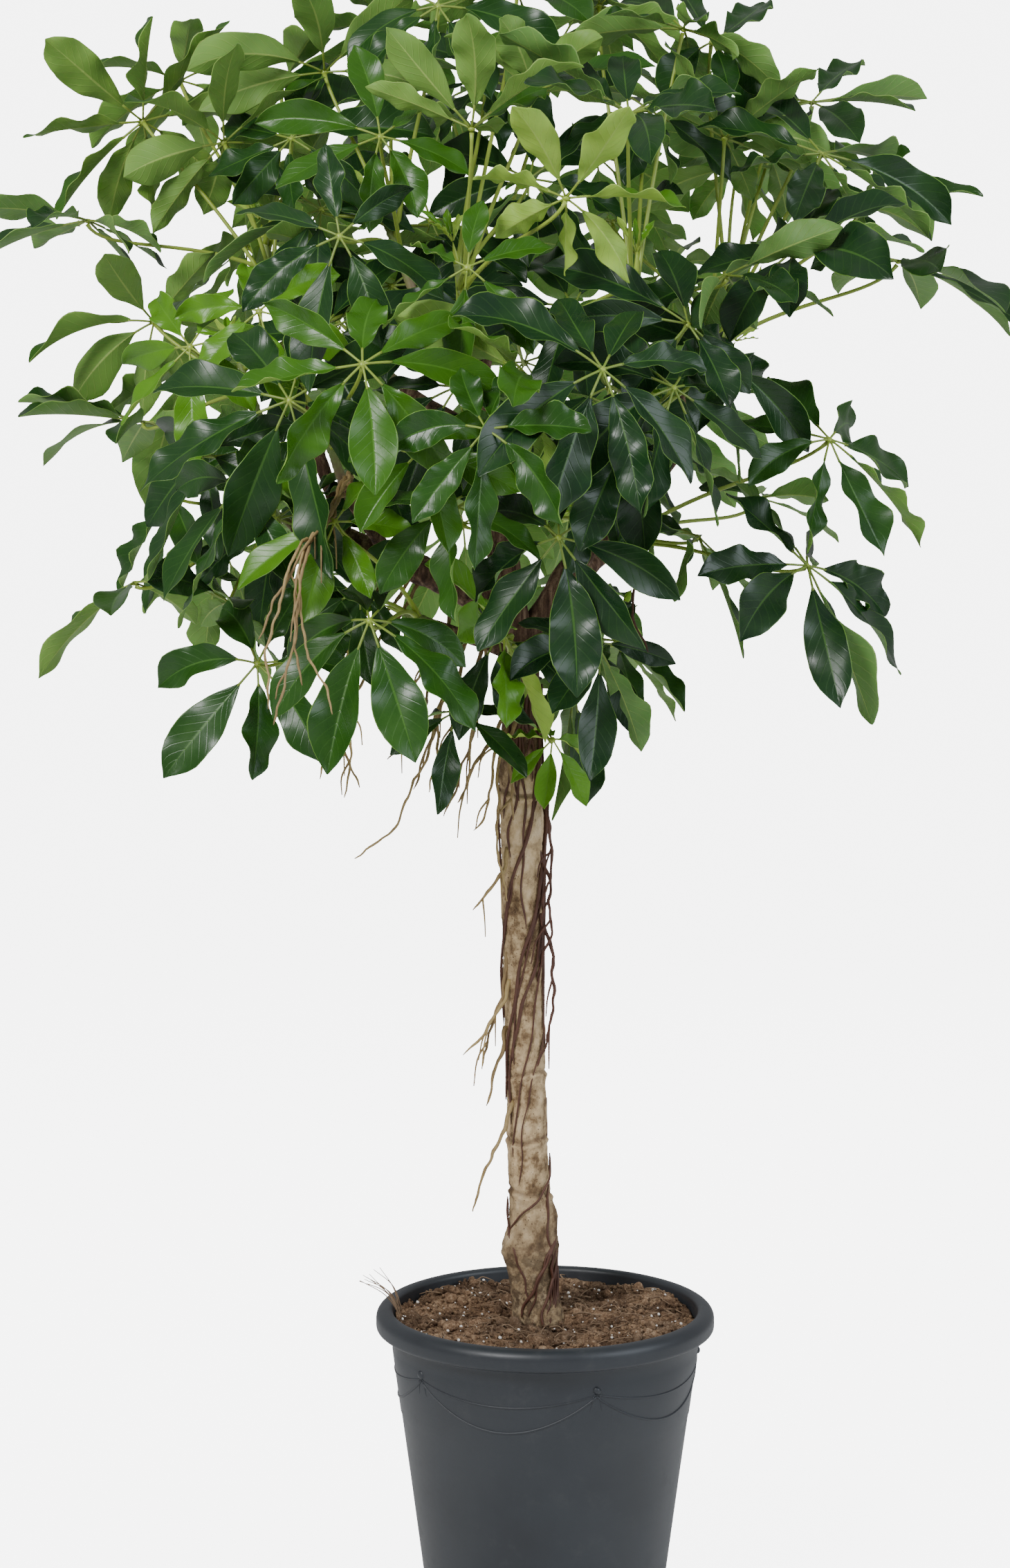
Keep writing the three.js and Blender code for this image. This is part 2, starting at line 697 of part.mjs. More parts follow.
// The leaflet alone and thicker by that room, to try whether its place is free.
function leafletTrial({ centre }, sections) {
  const surface = new Surface();
  const low = sections[0];
  const root = centre.clone().lerp(low.at, 0.12);
  const right = low.right.clone().sub(low.left).normalize();
  const face = [
    surface.point(root.clone().addScaledVector(low.normal, 1.6)),
    surface.point(root.clone().addScaledVector(right, 2.5)),
    surface.point(root.clone().addScaledVector(right, -2.5)),
  ];
  surface.cap(face, true);
  addLeaflet(surface, face, sections, BLADE_THICKNESS + 2 * ROOM);
  return surface.solid();
}

// The stalk's course, from inside the shoot to just under the leaf's centre.
function stalkCurve(frame, bow) {
  const end = frame.centre.clone().addScaledVector(frame.axis, -5);
  const length = end.distanceTo(frame.start);
  const away = end.clone().sub(frame.start).normalize();
  const across = away.clone().cross(UP).normalize();
  const first = frame.start.clone().addScaledVector(away, length * 0.4);
  first.addScaledVector(UP, length * bow.rise).addScaledVector(across, length * bow.across);
  const last = end.clone().addScaledVector(frame.axis, -length * 0.14).addScaledVector(away, -length * 0.1);
  return new THREE.CubicBezierCurve3(frame.start, first, last, end);
}

const STALK_SHARES = [0, 0.45, 1];
const STALK_SIDES = 3;

// The stalk's rings, turned so that the last one lies across the leaf's axis. The first one may lie
// some way along.
function stalkRings(surface, frame, bow, radius, skipped = 0) {
  const curve = stalkCurve(frame, bow);
  const points = STALK_SHARES.map((share) => curve.getPoint(share));
  points[0].lerp(points[1], skipped / points[0].distanceTo(points[1]));
  const rings = [];
  const a = frame.out.clone();
  let ahead = frame.axis;
  for (let i = points.length - 1; i >= 0; i--) {
    const share = STALK_SHARES[i];
    const along = share === 1 ? frame.axis : curve.getTangent(share);
    a.applyQuaternion(new THREE.Quaternion().setFromUnitVectors(ahead, along));
    a.addScaledVector(along, -a.dot(along)).normalize();
    ahead = along;
    const b = along.clone().cross(a);
    rings.unshift(surface.ring(points[i], a, b, radius * (1.25 - 0.25 * share), STALK_SIDES));
  }
  return rings;
}

function stalkTrial(frame, bow) {
  const surface = new Surface();
  const rings = stalkRings(surface, frame, bow, STALK_RADIUS + 1, 12);
  surface.cap(rings[0], true);
  const { centre, axis, out, side } = frame;
  // A triangle round the leaf's centre is twice as far out at its corners as at its sides.
  const below = centre.clone().addScaledVector(axis, -2);
  rings.push(surface.ring(below, out, side, 2 * HUB_RADIUS + 2, STALK_SIDES));
  rings.push(surface.ring(centre.clone().addScaledVector(axis, 4), out, side, 2 * HUB_RADIUS, STALK_SIDES));
  rings.slice(1).forEach((ring, i) => surface.join(rings[i], ring));
  surface.cap(rings.at(-1), false);
  return surface.solid();
}

const leafletTurn = (i, count) => -Math.PI + (2 * Math.PI * (i + 0.5)) / count;

// A whole leaf, closed as it is made: stalk, centre, and the leaflets that found room.
function leafSolid(frame, bow, leaflets) {
  const surface = new Surface();
  const rings = stalkRings(surface, frame, bow, STALK_RADIUS);
  surface.cap(rings[0], true);
  rings.slice(1).forEach((ring, i) => surface.join(rings[i], ring));
  const { centre, axis, out, side } = frame;
  const spoke = (turn, radius, height) =>
    surface.point(
      centre
        .clone()
        .addScaledVector(out, radius * Math.cos(turn))
        .addScaledVector(side, radius * Math.sin(turn))
        .addScaledVector(axis, height),
    );
  const count = leaflets.length;
  const step = (2 * Math.PI) / count;
  const edges = leaflets.map((_, i) => spoke(leafletTurn(i, count) - step / 2, HUB_RADIUS, -0.8));
  const crests = leaflets.map((_, i) => spoke(leafletTurn(i, count), HUB_RADIUS * 0.9, 1.4));
  const crown = spoke(0, 0, 2.6);
  const edgeAngles = edges.map((_, i) => i * step);
  // The stalk's last ring starts on the leaf's own heading, half a turn on from the first edge.
  const last = rings.at(-1);
  const angleOf = (i) => ((2 * Math.PI * i) / STALK_SIDES + Math.PI) % (2 * Math.PI);
  const turned = last.map((p, i) => ({ p, angle: angleOf(i) }));
  turned.sort((a, b) => a.angle - b.angle);
  surface.bridge(turned.map((t) => t.p), turned.map((t) => t.angle), edges, edgeAngles);
  leaflets.forEach((sections, i) => {
    const right = edges[i];
    const left = edges[(i + 1) % count];
    surface.triangles.push([right, crests[i], crown], [crests[i], left, crown]);
    if (sections) addLeaflet(surface, [crests[i], right, left], sections, BLADE_THICKNESS);
    else surface.triangles.push([crests[i], right, left]);
  });
  return surface.solid();
}

// ---------------------------------------------------------------- finding room

// Solids that are already in place, each with its box and the node that it belongs to.
class Placed {
  items = [];

  add(solid, node) {
    this.items.push({ solid, node, box: solid.boundingBox() });
    return solid;
  }

  // Whether solid meets anything that doesn't belong to one of these nodes.
  blocks(solid, except = []) {
    const { min, max } = solid.boundingBox();
    return this.items.some(({ solid: other, node, box }) => {
      if (except.includes(node)) return false;
      if ([0, 1, 2].some((k) => box.min[k] > max[k] || box.max[k] < min[k])) return false;
      return !solid.intersect(other).isEmpty();
    });
  }
}

// How a stalk may bow, and how a leaflet may give way, until its place is free.
const BOWS = [0.1, -0.04, 0.22, -0.16, 0.34].flatMap((rise) =>
  [0, 0.12, -0.12, 0.26, -0.26, 0.4, -0.4].map((across) => ({ rise, across })),
);
const CHANGES = [1, 0.86, 0.72].flatMap((length) =>
  [0, 10, -10, 20, -20, 32].flatMap((droop) => [0, 0.14, -0.14].map((swing) => ({ length, droop, swing }))),
);

function shootStem(shoot, extra = 0) {
  const [base, tip] = [shoot.base, shoot.tip].map(vector);
  const along = tip.clone().sub(base).normalize();
  const start = base.clone().addScaledVector(along, GAP);
  const end = tip.clone().addScaledVector(along, 8);
  const side = new THREE.Vector3(0.3, 0.2, 1).cross(along).normalize();
  const middle = start.clone().lerp(end, 0.6).addScaledVector(side, 3);
  const curve = curveThrough([start, start.clone().addScaledVector(along, 8), middle, end]);
  return tube(curve, taper(SHOOT_RADIUS + extra, SHOOT_RADIUS * 0.62 + extra), 5, 3);
}

function growShoots(placed) {
  const leaves = [];
  for (const shoot of SHOOTS) {
    if (placed.blocks(shootStem(shoot))) console.warn(`${shoot.name}: its stem meets something`);
    placed.add(shootStem(shoot, 2.5), shoot.name);
  }
  for (const shoot of SHOOTS) {
    shoot.leaves.forEach((leaf, index) => {
      const frame = leafFrame(shoot, leaf, index);
      const bow = BOWS.find((b) => !placed.blocks(stalkTrial(frame, b), [shoot.name]));
      if (!bow) console.warn(`${shoot.name} leaf ${index}: its stalk finds no room`);
      placed.add(stalkTrial(frame, bow ?? BOWS[0]), shoot.name + index);
      leaves.push({ shoot, frame, bow: bow ?? BOWS[0] });
    });
  }
  for (const leaf of leaves) {
    const { shoot, frame } = leaf;
    const own = shoot.name + frame.index;
    const count = leafletCount(frame.size);
    leaf.leaflets = Array.from({ length: count }, (_, i) => {
      for (const change of CHANGES) {
        const sections = leafletSections(frame, leafletTurn(i, count), change);
        const trial = leafletTrial(frame, sections);
        if (placed.blocks(trial, [own])) continue;
        placed.add(trial, own + "leaflet" + i);
        return sections;
      }
      return null;
    });
  }
  return leaves;
}

// ---------------------------------------------------------------- the whole plant

const MATERIALS = {
  pot: new THREE.MeshStandardMaterial({ color: 0x3c4046, roughness: 0.55, metalness: 0 }),
  soil: new THREE.MeshStandardMaterial({ color: 0x5a4030, roughness: 0.95, metalness: 0 }),
  bark: new THREE.MeshStandardMaterial({ color: 0xa08a6c, roughness: 0.85, metalness: 0 }),
  leaf: new THREE.MeshStandardMaterial({ color: 0x2f6a1e, roughness: 0.35, metalness: 0 }),
};

const plant = new THREE.Group();
plant.name = "potted_umbrella_plant";

function addPiece(name, solid, material) {
  const mesh = new THREE.Mesh(geometryOf(solid), material);
  mesh.name = name;
  plant.add(mesh);
  console.log(name, solid.numTri(), "triangles");
}

const placed = new Placed();
addPiece("pot", potSolid(), MATERIALS.pot);
addPiece("soil", soilSolid(), MATERIALS.soil);
addPiece("trunk", placed.add(woodSolid(), "trunk"), MATERIALS.bark);

const leaves = growShoots(placed);
let lost = 0;
for (const shoot of SHOOTS) {
  const own = leaves.filter((leaf) => leaf.shoot === shoot);
  lost += own.flatMap((leaf) => leaf.leaflets).filter((leaflet) => !leaflet).length;
  const solid = own.reduce(
    (all, { frame, bow, leaflets }) => all.add(leafSolid(frame, bow, leaflets)),
    shootStem(shoot),
  );
  addPiece(shoot.name, solid, MATERIALS.leaf);
}
console.log("leaves", leaves.length, "leaflets lost", lost);

export default plant;
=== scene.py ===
from math import cos, pi, radians, sin, tau
from random import Random

import bmesh
import bpy
import numpy as np
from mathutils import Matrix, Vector, noise
from mathutils.bvhtree import BVHTree


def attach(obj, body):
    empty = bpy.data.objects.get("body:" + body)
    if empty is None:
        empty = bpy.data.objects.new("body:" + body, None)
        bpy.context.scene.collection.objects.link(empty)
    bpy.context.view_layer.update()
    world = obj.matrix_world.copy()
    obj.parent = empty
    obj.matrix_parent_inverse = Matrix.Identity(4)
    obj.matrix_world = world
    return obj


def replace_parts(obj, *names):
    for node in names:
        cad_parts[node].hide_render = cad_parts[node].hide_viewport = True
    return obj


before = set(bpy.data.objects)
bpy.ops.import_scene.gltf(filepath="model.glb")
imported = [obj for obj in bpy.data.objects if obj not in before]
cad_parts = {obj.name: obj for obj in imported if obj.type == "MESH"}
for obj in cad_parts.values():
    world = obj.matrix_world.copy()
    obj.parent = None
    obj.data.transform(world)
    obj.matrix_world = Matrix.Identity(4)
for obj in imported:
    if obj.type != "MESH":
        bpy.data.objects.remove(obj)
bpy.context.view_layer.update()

# A potted umbrella tree: a bare trunk out of a plastic pot of soil, with aerial roots, and a round
# crown whose leaves each carry a ring of leaflets. Sizes are in millimetres and become metres when a
# mesh is made. The photograph's camera looks along +Y.

MM = 0.001

# ---- driving dimensions

POT_HEIGHT = 335
POT_BASE_RADIUS = 124
POT_NECK_RADIUS = 165
POT_NECK_HEIGHT = 311
RIM_RADIUS = 180
WALL = 3
SOIL_LEVEL = 315
CRUMB = 4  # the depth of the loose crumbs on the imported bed
BED_EDGE = 300  # where the bed's side meets the wall, which it then follows down, out of sight,
BED_FOOT = 262  # to here
INSIDE_FOOT = 250  # where the pot's inside is closed

# The trunk's centre line and radius: x, z, radius
TRUNK = [
    (-9, 240, 26), (-9, 325, 26), (-10, 334, 24), (-13, 372, 23.5), (-16, 398, 27), (-16, 425, 22.5),
    (-18, 500, 21.5), (-21, 590, 20.8), (-24, 700, 21), (-25, 820, 21.8), (-25, 858, 23.6),
    (-25, 885, 21.4), (-26, 990, 19.6), (-26, 1062, 19),
]

# Woody limbs: the radius at each end, and the path
LIMBS = [
    (19, 14, [(-28, 0, 1034), (-66, -16, 1088), (-138, -32, 1125), (-205, -20, 1150)]),
    (15, 12, [(-24, 0, 1035), (10, 6, 1095), (45, 4, 1150), (62, 0, 1215)]),
    (15, 11, [(-26, 0, 1040), (-40, -12, 1120), (-52, -22, 1200), (-62, -18, 1300)]),
    (13, 10, [(-28, 2, 1035), (-46, 60, 1110), (-62, 112, 1190), (-72, 140, 1260)]),
    (12, 9, [(-22, 2, 1030), (20, 60, 1090), (62, 112, 1130), (96, 142, 1170)]),
]

# Green shoots: where each leaves its limb, where its wood turns green, its growing tip, its leaves.
# A leaf's row holds its centre x, y and z, its size, the lean of its axis from the vertical, the
# heading that it leans towards, round from +X, how far its leaflets start below the plane across the
# axis, these three in degrees, and its tone, from 0, dark, to 1, bright: partly the leaf's age,
# old leaves dark and young ones bright, and partly painted shade, with low tones for the leaves on
# the right, away from the key light.
SHOOTS = {
    "shoot_upper_left": ((-205, -20, 1150), (-270, 50, 1350), (-295, 90, 1455), [
        (-425, 120, 1585, 1.1, 56, 118, 0, 0.5), (-335, 60, 1560, 1.0, 50, 110, 2, 0.4),
        (-280, 150, 1625, 0.95, 38, 95, 4, 0.35), (-478, 60, 1480, 1.0, 12, 60, 4, 0.15),
        (-395, 235, 1635, 0.95, 38, 110, 4, 0.4), (-279, 150, 1507, 1.0, 52, 135, 4, 0.35),
        (-263, 20, 1562, 0.98, 48, 255, 4, 0.2),
    ]),
    "shoot_left": ((-205, -20, 1150), (-285, 5, 1240), (-315, 20, 1325), [
        (-410, 60, 1375, 0.95, 52, 112, 4, 0.4), (-355, -150, 1350, 0.82, 62, 250, 8, 0.85),
        (-285, -165, 1385, 0.8, 52, 262, 8, 0.85), (-425, 90, 1270, 1.12, 10, 20, -2, 0.2),
        (-226, 60, 1440, 0.9, 40, 100, 8, 0.35), (-233, -40, 1364, 0.98, 54, 250, 6, 0.1),
        (-160, 20, 1412, 0.98, 56, 262, 8, 0.1),
    ]),
    "shoot_front_left": ((-150, -24, 1120), (-205, -120, 1215), (-230, -180, 1285), [
        (-175, -380, 1335, 1.02, 58, 275, 6, 0.6), (-345, -140, 1245, 0.9, 55, 230, 18, 0.15),
        (-248, -300, 1300, 1.12, 70, 262, 10, 0.2), (-120, -345, 1256, 0.8, 58, 270, 8, 0.6),
        (-300, -260, 1215, 0.9, 55, 240, 14, 0.25), (-165, -60, 1215, 0.8, 54, 255, 8, 0.15),
    ]),
    "shoot_top_left": ((-62, -18, 1300), (-135, 8, 1400), (-165, 20, 1475), [
        (-165, -160, 1555, 0.88, 60, 275, 2, 0.5), (-200, -285, 1455, 0.95, 72, 265, 5, 0.15),
        (-230, 60, 1632, 1.0, 55, 95, 6, 0.35), (-110, -50, 1690, 1.02, 45, 265, 8, 0.2),
        (-165, 160, 1690, 0.95, 25, 90, 6, 0.3), (-120, 60, 1480, 0.98, 52, 262, 6, 0.15),
        (-232, 20, 1490, 0.98, 54, 268, 6, 0.1),
    ]),
    "shoot_top": ((-62, -18, 1300), (-82, -80, 1355), (-90, -100, 1425), [
        (-75, -205, 1560, 0.95, 16, 95, -34, 0.45), (-30, 90, 1718, 1.0, 15, 90, 8, 0.35),
        (-15, -110, 1600, 0.85, 16, 60, -30, 0.4), (15, -300, 1490, 0.85, 46, 80, -4, 0.75),
        (-78, -330, 1425, 0.7, 66, 265, 8, 0.5), (-18, 20, 1521, 0.98, 52, 262, 8, 0.15),
        (-92, -60, 1309, 0.98, 56, 268, 8, 0.1), (-64, 60, 1628, 0.98, 44, 262, 4, 0.15),
    ]),
    "shoot_top_right": ((62, 0, 1215), (84, -42, 1340), (90, -60, 1415), [
        (78, -185, 1575, 1.05, 20, 280, -25, 0.15), (245, -125, 1445, 1.1, 30, 215, -6, 0.1),
        (55, 60, 1700, 1.0, 40, 80, 6, 0.3), (140, 10, 1672, 1.02, 14, 10, 0, 0.25),
        (176, -150, 1420, 0.98, 10, 180, 6, 0.15), (27, -20, 1389, 0.98, 58, 275, 6, 0.1),
        (108, 60, 1593, 0.98, 50, 285, 4, 0.15),
    ]),
    "shoot_right": ((62, 0, 1215), (155, 60, 1310), (195, 80, 1372), [
        (185, 50, 1564, 0.98, 45, 85, 0, 0.25), (280, -20, 1545, 1.05, 36, 300, 4, 0.15),
        (368, 60, 1438, 1.16, 16, 10, 0, 0.15), (281, 120, 1605, 1.0, 20, 250, -2, 0.2),
        (70, 100, 1480, 0.9, 30, 100, 6, 0.15), (240, 200, 1560, 0.95, 30, 30, 4, 0.2),
        (172, 60, 1663, 0.92, 40, 290, 2, 0.2), (330, 100, 1497, 0.85, 36, 120, 0, 0.3),
    ]),
    "shoot_lower_right": ((45, 4, 1150), (62, -30, 1140), (76, -62, 1152), [
        (282, -125, 1258, 0.98, 46, 302, 12, 0.3), (258, -165, 1134, 1.15, 50, 322, 6, 0.1),
        (152, -110, 1160, 0.88, 38, 350, 12, 0.15), (225, 70, 1190, 0.75, 20, 20, -14, 0.2),
        (57, -92, 1216, 0.95, 56, 288, 8, 0.1),
    ]),
    "shoot_front_right": ((62, 0, 1215), (88, -110, 1245), (96, -165, 1288), [
        (118, -300, 1312, 1.0, 54, 302, 12, 0.1), (175, -150, 1335, 0.95, 52, 318, 14, 0.15),
        (48, -375, 1330, 1.05, 60, 280, 10, 0.1), (134, -245, 1372, 0.95, 56, 302, 12, 0.1),
        (66, -190, 1290, 0.9, 56, 292, 10, 0.15), (63, -60, 1309, 0.98, 56, 285, 8, 0.1),
    ]),
    "shoot_front": ((-52, -22, 1200), (-40, -110, 1190), (-36, -165, 1222), [
        (-20, -330, 1322, 1.08, 72, 14, 12, 0.55), (-98, -330, 1202, 0.78, 58, 262, 8, 0.4),
        (8, -345, 1172, 0.98, 60, 264, 14, 0.1), (-60, -425, 1276, 0.86, 60, 264, 4, 0.35),
        (72, -330, 1262, 0.88, 56, 296, 12, 0.1),
    ]),
    "shoot_lower_left": ((-28, 0, 1030), (-112, -62, 1066), (-142, -86, 1080), [
        (-287, -205, 1040, 0.95, 58, 256, 8, 0.3), (-205, -305, 1185, 0.74, 60, 258, 8, 0.75),
        (-172, -320, 1092, 1.0, 46, 262, 24, 0.35), (-92, -130, 985, 0.7, 40, 255, 14, 0.15),
        (-235, -100, 1120, 0.9, 50, 220, 20, 0.25), (-188, -150, 1108, 0.72, 50, 240, 12, 0.25),
    ]),
    "shoot_low_front": ((-26, 0, 1010), (-34, -44, 1030), (-40, -66, 1048), [
        (-44, -150, 1066, 0.9, 62, 350, 6, 0.85), (6, -72, 950, 0.55, 50, 290, 34, 0.95),
        (52, -150, 1050, 0.85, 48, 335, 22, 0.1), (-50, -112, 1060, 0.72, 52, 258, 14, 0.12),
    ]),
    "shoot_low_right": ((-22, 2, 1020), (22, 34, 1030), (44, 48, 1044), [
        (30, 20, 992, 0.95, 40, 350, 40, 0.15), (76, 60, 1040, 0.85, 24, 0, 14, 0.3),
        (54, 165, 1094, 0.78, 40, 60, 18, 0.15), (50, -22, 1046, 0.68, 60, 280, 2, 0.1),
    ]),
    "shoot_low_left": ((-205, -20, 1150), (-262, 45, 1160), (-285, 62, 1176), [
        (-392, 40, 1195, 0.92, 52, 205, 12, 0.3), (-425, -30, 1108, 0.95, 20, 170, 8, 0.4),
        (-345, 125, 1135, 0.95, 50, 125, 14, 0.3), (-325, -60, 1090, 0.9, 30, 30, 0, 0.2),
        (-276, -60, 1175, 0.98, 50, 240, 10, 0.15),
    ]),
    "shoot_back_left": ((-72, 140, 1260), (-160, 225, 1310), (-205, 255, 1350), [
        (-330, 330, 1460, 1.0, 42, 138, 14, 0.35), (-200, 420, 1400, 1.0, 48, 112, 14, 0.35),
        (-390, 250, 1330, 1.0, 48, 150, 18, 0.35), (-235, 360, 1265, 1.0, 56, 118, 20, 0.25),
        (-250, 300, 1540, 0.95, 34, 120, 12, 0.45),
    ]),
    "shoot_back": ((-72, 140, 1260), (-58, 225, 1380), (-50, 255, 1445), [
        (-60, 445, 1470, 1.0, 46, 92, 14, 0.35), (60, 360, 1560, 1.0, 36, 72, 12, 0.35),
        (-105, 300, 1620, 1.0, 28, 100, 12, 0.3), (-20, 430, 1330, 1.0, 54, 88, 18, 0.25),
        (20, 215, 1680, 0.95, 20, 75, 14, 0.4),
    ]),
    "shoot_back_right": ((96, 142, 1170), (165, 205, 1270), (196, 235, 1330), [
        (255, 290, 1576, 1.0, 40, 60, 10, 0.25), (150, 400, 1440, 1.0, 46, 70, 12, 0.35),
        (150, 300, 1370, 1.0, 46, 60, 14, 0.2), (150, 370, 1280, 0.9, 50, 90, 14, 0.2),
        (215, 290, 1545, 0.95, 34, 55, 12, 0.4),
    ]),
    "shoot_low_back": ((96, 142, 1170), (62, 205, 1150), (46, 235, 1160), [
        (38, 330, 1195, 0.8, 50, 80, 16, 0.2), (-90, 330, 1150, 1.0, 54, 105, 22, 0.35),
        (40, 370, 1215, 0.95, 50, 84, 20, 0.35),
    ]),
}

# Leaflets of a leaf of size 1
LEAFLET_LENGTH = 146  # from the leaf's centre to the tip
LEAFLET_WIDTH = 47
STALK_SHARE = 0.16  # of the leaflet's length, before its blade begins
BLADE_THICKNESS = 0.6
FOLD = 0.3  # how far the edges stand above the rib, as a share of the half width
WAVE = 4.2  # how far the edges wave up and down
BEND = 0.42  # how far the leaflet's own weight turns it down along its length

STALK_RADIUS = 1.5
SHOOT_RADIUS = 5.2
HUB_RADIUS = 3.6
HUB_HEIGHT = 2.6
STEM, STALK, TOP, UNDER = range(4)  # a shoot's material slots

# Aerial roots that cling to the trunk: top and bottom height, the angle round the trunk where each
# starts and ends, in degrees from +X (-90 is the front), and the radius
CLINGING = [
    (985, 640, -30, -172, 2.2), (880, 560, -4, -160, 2.4), (1000, 690, 12, 2, 1.9),
    (436, 328, 2, -122, 2.3), (424, 330, -14, -58, 2.0), (980, 745, -92, -84, 1.6),
    (845, 535, 8, -146, 1.7), (800, 500, 0, -128, 1.3), (905, 700, -50, -166, 1.2),
    (500, 412, 8, -150, 1.4), (455, 345, -170, -100, 1.5), (930, 610, 40, -20, 1.4),
    (1010, 820, -70, -120, 1.8), (1005, 860, -110, -140, 1.6), (1020, 900, -58, -64, 2.0),
    (700, 470, -10, -120, 1.0), (470, 316, -34, -44, 1.6), (900, 560, 60, 150, 1.8),
    (980, 700, 110, 60, 1.8), (640, 420, 100, 30, 1.4), (940, 620, 175, 120, 1.6),
    (430, 312, 60, 110, 2.0), (420, 312, 160, 130, 1.8), (560, 380, 20, 70, 1.2),
    (432, 306, 4, -78, 2.0), (426, 306, 10, -62, 1.6), (414, 306, 12, -42, 2.1), (404, 306, 8, -26, 1.7),
    (446, 330, 0, -104, 1.5), (880, 660, 14, -20, 1.5), (820, 600, 4, -118, 1.9), (860, 590, 0, -136, 1.5),
    (1024, 930, -96, -72, 2.6), (1020, 905, -84, -112, 2.3), (1016, 880, -120, -98, 2.0),
]

# Aerial roots that hang free: the points that each passes
HANGING = [
    [(-70, -14, 1074), (-100, -60, 1010), (-126, -80, 930), (-158, -90, 862), (-196, -96, 832)],
    [(-60, -12, 1066), (-76, -30, 1000), (-80, -38, 930), (-104, -44, 870)],
    [(-34, -14, 985), (-48, -24, 905), (-50, -34, 830), (-44, -38, 776)],
    [(-40, -16, 830), (-52, -32, 800), (-76, -44, 770)],
    [(-38, -14, 690), (-54, -30, 650), (-86, -44, 618)],
    [(-34, -14, 560), (-52, -30, 520), (-76, -38, 446)],
    [(-150, -26, 1118), (-196, -130, 1060), (-214, -190, 990), (-222, -200, 925)],
    [(-140, -26, 1114), (-184, -120, 1040), (-206, -170, 960), (-190, -182, 915)],
    [(60, 0, 1200), (96, -50, 1130), (88, -80, 1075), (104, -84, 1040)],
    [(-36, -16, 980), (-56, -40, 930), (-62, -46, 880), (-74, -46, 850)],
    [(-38, -14, 960), (-70, -40, 925), (-92, -50, 880)],
    [(-30, -20, 970), (-40, -34, 900), (-34, -36, 862)],
    [(-6, -14, 760), (8, -22, 700), (6, -26, 640), (-8, -22, 600)],
    [(-8, -10, 830), (4, -16, 780), (2, -20, 720), (-10, -18, 690)],
    [(-40, -12, 720), (-50, -22, 660), (-68, -34, 600)],
    [(-42, -10, 640), (-56, -22, 590), (-60, -30, 560)],
    [(-160, -26, 1122), (-206, -140, 1030), (-190, -176, 970), (-204, -190, 905)],
    [(-130, -24, 1110), (-172, -110, 1050), (-196, -150, 1000), (-226, -176, 960)],
]

# Finer strands: a hank that leaves a twig and hangs in front of the crown, then single ones
FINE = [
    [(-205, -120, 1215), (-196, -210, 1222), (-212, -300, 1186), (-236, -350, 1150), (-240, -360, 1090),
     (-232, -362, 1030)],
    [(-203, -122, 1212), (-194, -215, 1225), (-210, -305, 1190), (-238, -348, 1152), (-262, -356, 1110),
     (-276, -360, 1078)],
    [(-206, -118, 1210), (-198, -205, 1220), (-214, -298, 1184), (-233, -352, 1148), (-247, -364, 1060),
     (-262, -366, 996)],
    [(-204, -121, 1208), (-195, -212, 1226), (-209, -302, 1192), (-236, -349, 1150), (-236, -362, 1100),
     (-218, -364, 1040), (-206, -366, 1008)],
    [(-205, -119, 1213), (-197, -208, 1218), (-213, -297, 1183), (-240, -346, 1154), (-252, -358, 1120),
     (-268, -362, 1060), (-270, -364, 1010)],
    [(-112, -62, 1066), (-116, -80, 1028), (-120, -90, 994), (-134, -95, 966), (-164, -100, 933)],
    [(-66, -16, 1088), (-107, -50, 983), (-116, -60, 934), (-121, -62, 891)],
    [(-80, -26, 1096), (-87, -50, 1008), (-96, -60, 962), (-107, -66, 920)],
    [(-60, -12, 1084), (-71, -40, 996), (-76, -48, 954), (-84, -50, 904)],
    [(-112, -62, 1066), (-127, -90, 1029), (-140, -100, 995), (-162, -105, 960)],
    [(-100, -26, 1108), (-99, -60, 1026), (-112, -70, 978), (-128, -74, 928), (-138, -76, 900)],
    [(-6, -16, 905), (4, -22, 870), (2, -26, 800), (-2, -22, 760)],
]

# ---- surfaces


def unit(v):
    v = np.asarray(v, float)
    return v / np.linalg.norm(v, axis=-1, keepdims=True)


def placed(name, data):
    """A new object in the scene."""
    made = bpy.data.objects.new(name, data)
    bpy.context.scene.collection.objects.link(made)
    return made


class Surface:
    """Points and faces in the making. Each point carries three numbers that its material reads."""

    def __init__(self):
        self.points, self.notes, self.faces, self.slots = [], [], [], []
        self.count = 0

    def add(self, points, faces, slots, notes):
        points = np.asarray(points, float).reshape(-1, 3)
        self.points.append(points)
        self.notes.append(np.broadcast_to(np.asarray(notes, float), points.shape))
        for face_set, slot in zip(faces, slots):
            face_set = np.asarray(face_set, int)
            self.faces.append(face_set + self.count)
            self.slots.append(np.broadcast_to(slot, len(face_set)))
        self.count += len(points)

    def piece(self, name, materials):
        mesh = bpy.data.meshes.new(name)
        corners = np.concatenate([f.ravel() for f in self.faces])
        sizes = np.concatenate([np.full(len(f), f.shape[1]) for f in self.faces])
        mesh.vertices.add(self.count)
        mesh.vertices.foreach_set("co", np.concatenate(self.points).ravel() * MM)
        mesh.loops.add(len(corners))
        mesh.loops.foreach_set("vertex_index", corners.astype(np.int32))
        mesh.polygons.add(len(sizes))
        starts = np.concatenate([[0], np.cumsum(sizes)[:-1]])
        mesh.polygons.foreach_set("loop_start", starts.astype(np.int32))
        mesh.polygons.foreach_set("material_index", np.concatenate(self.slots).astype(np.int32))
        mesh.polygons.foreach_set("use_smooth", np.ones(len(sizes), bool))
        mesh.update(calc_edges=True)
        notes = mesh.attributes.new("note", "FLOAT_VECTOR", "POINT")
        notes.data.foreach_set("vector", np.concatenate(self.notes).ravel())
        for material in materials:
            mesh.materials.append(material)
        made = placed(name, mesh)
        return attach(made, "root")


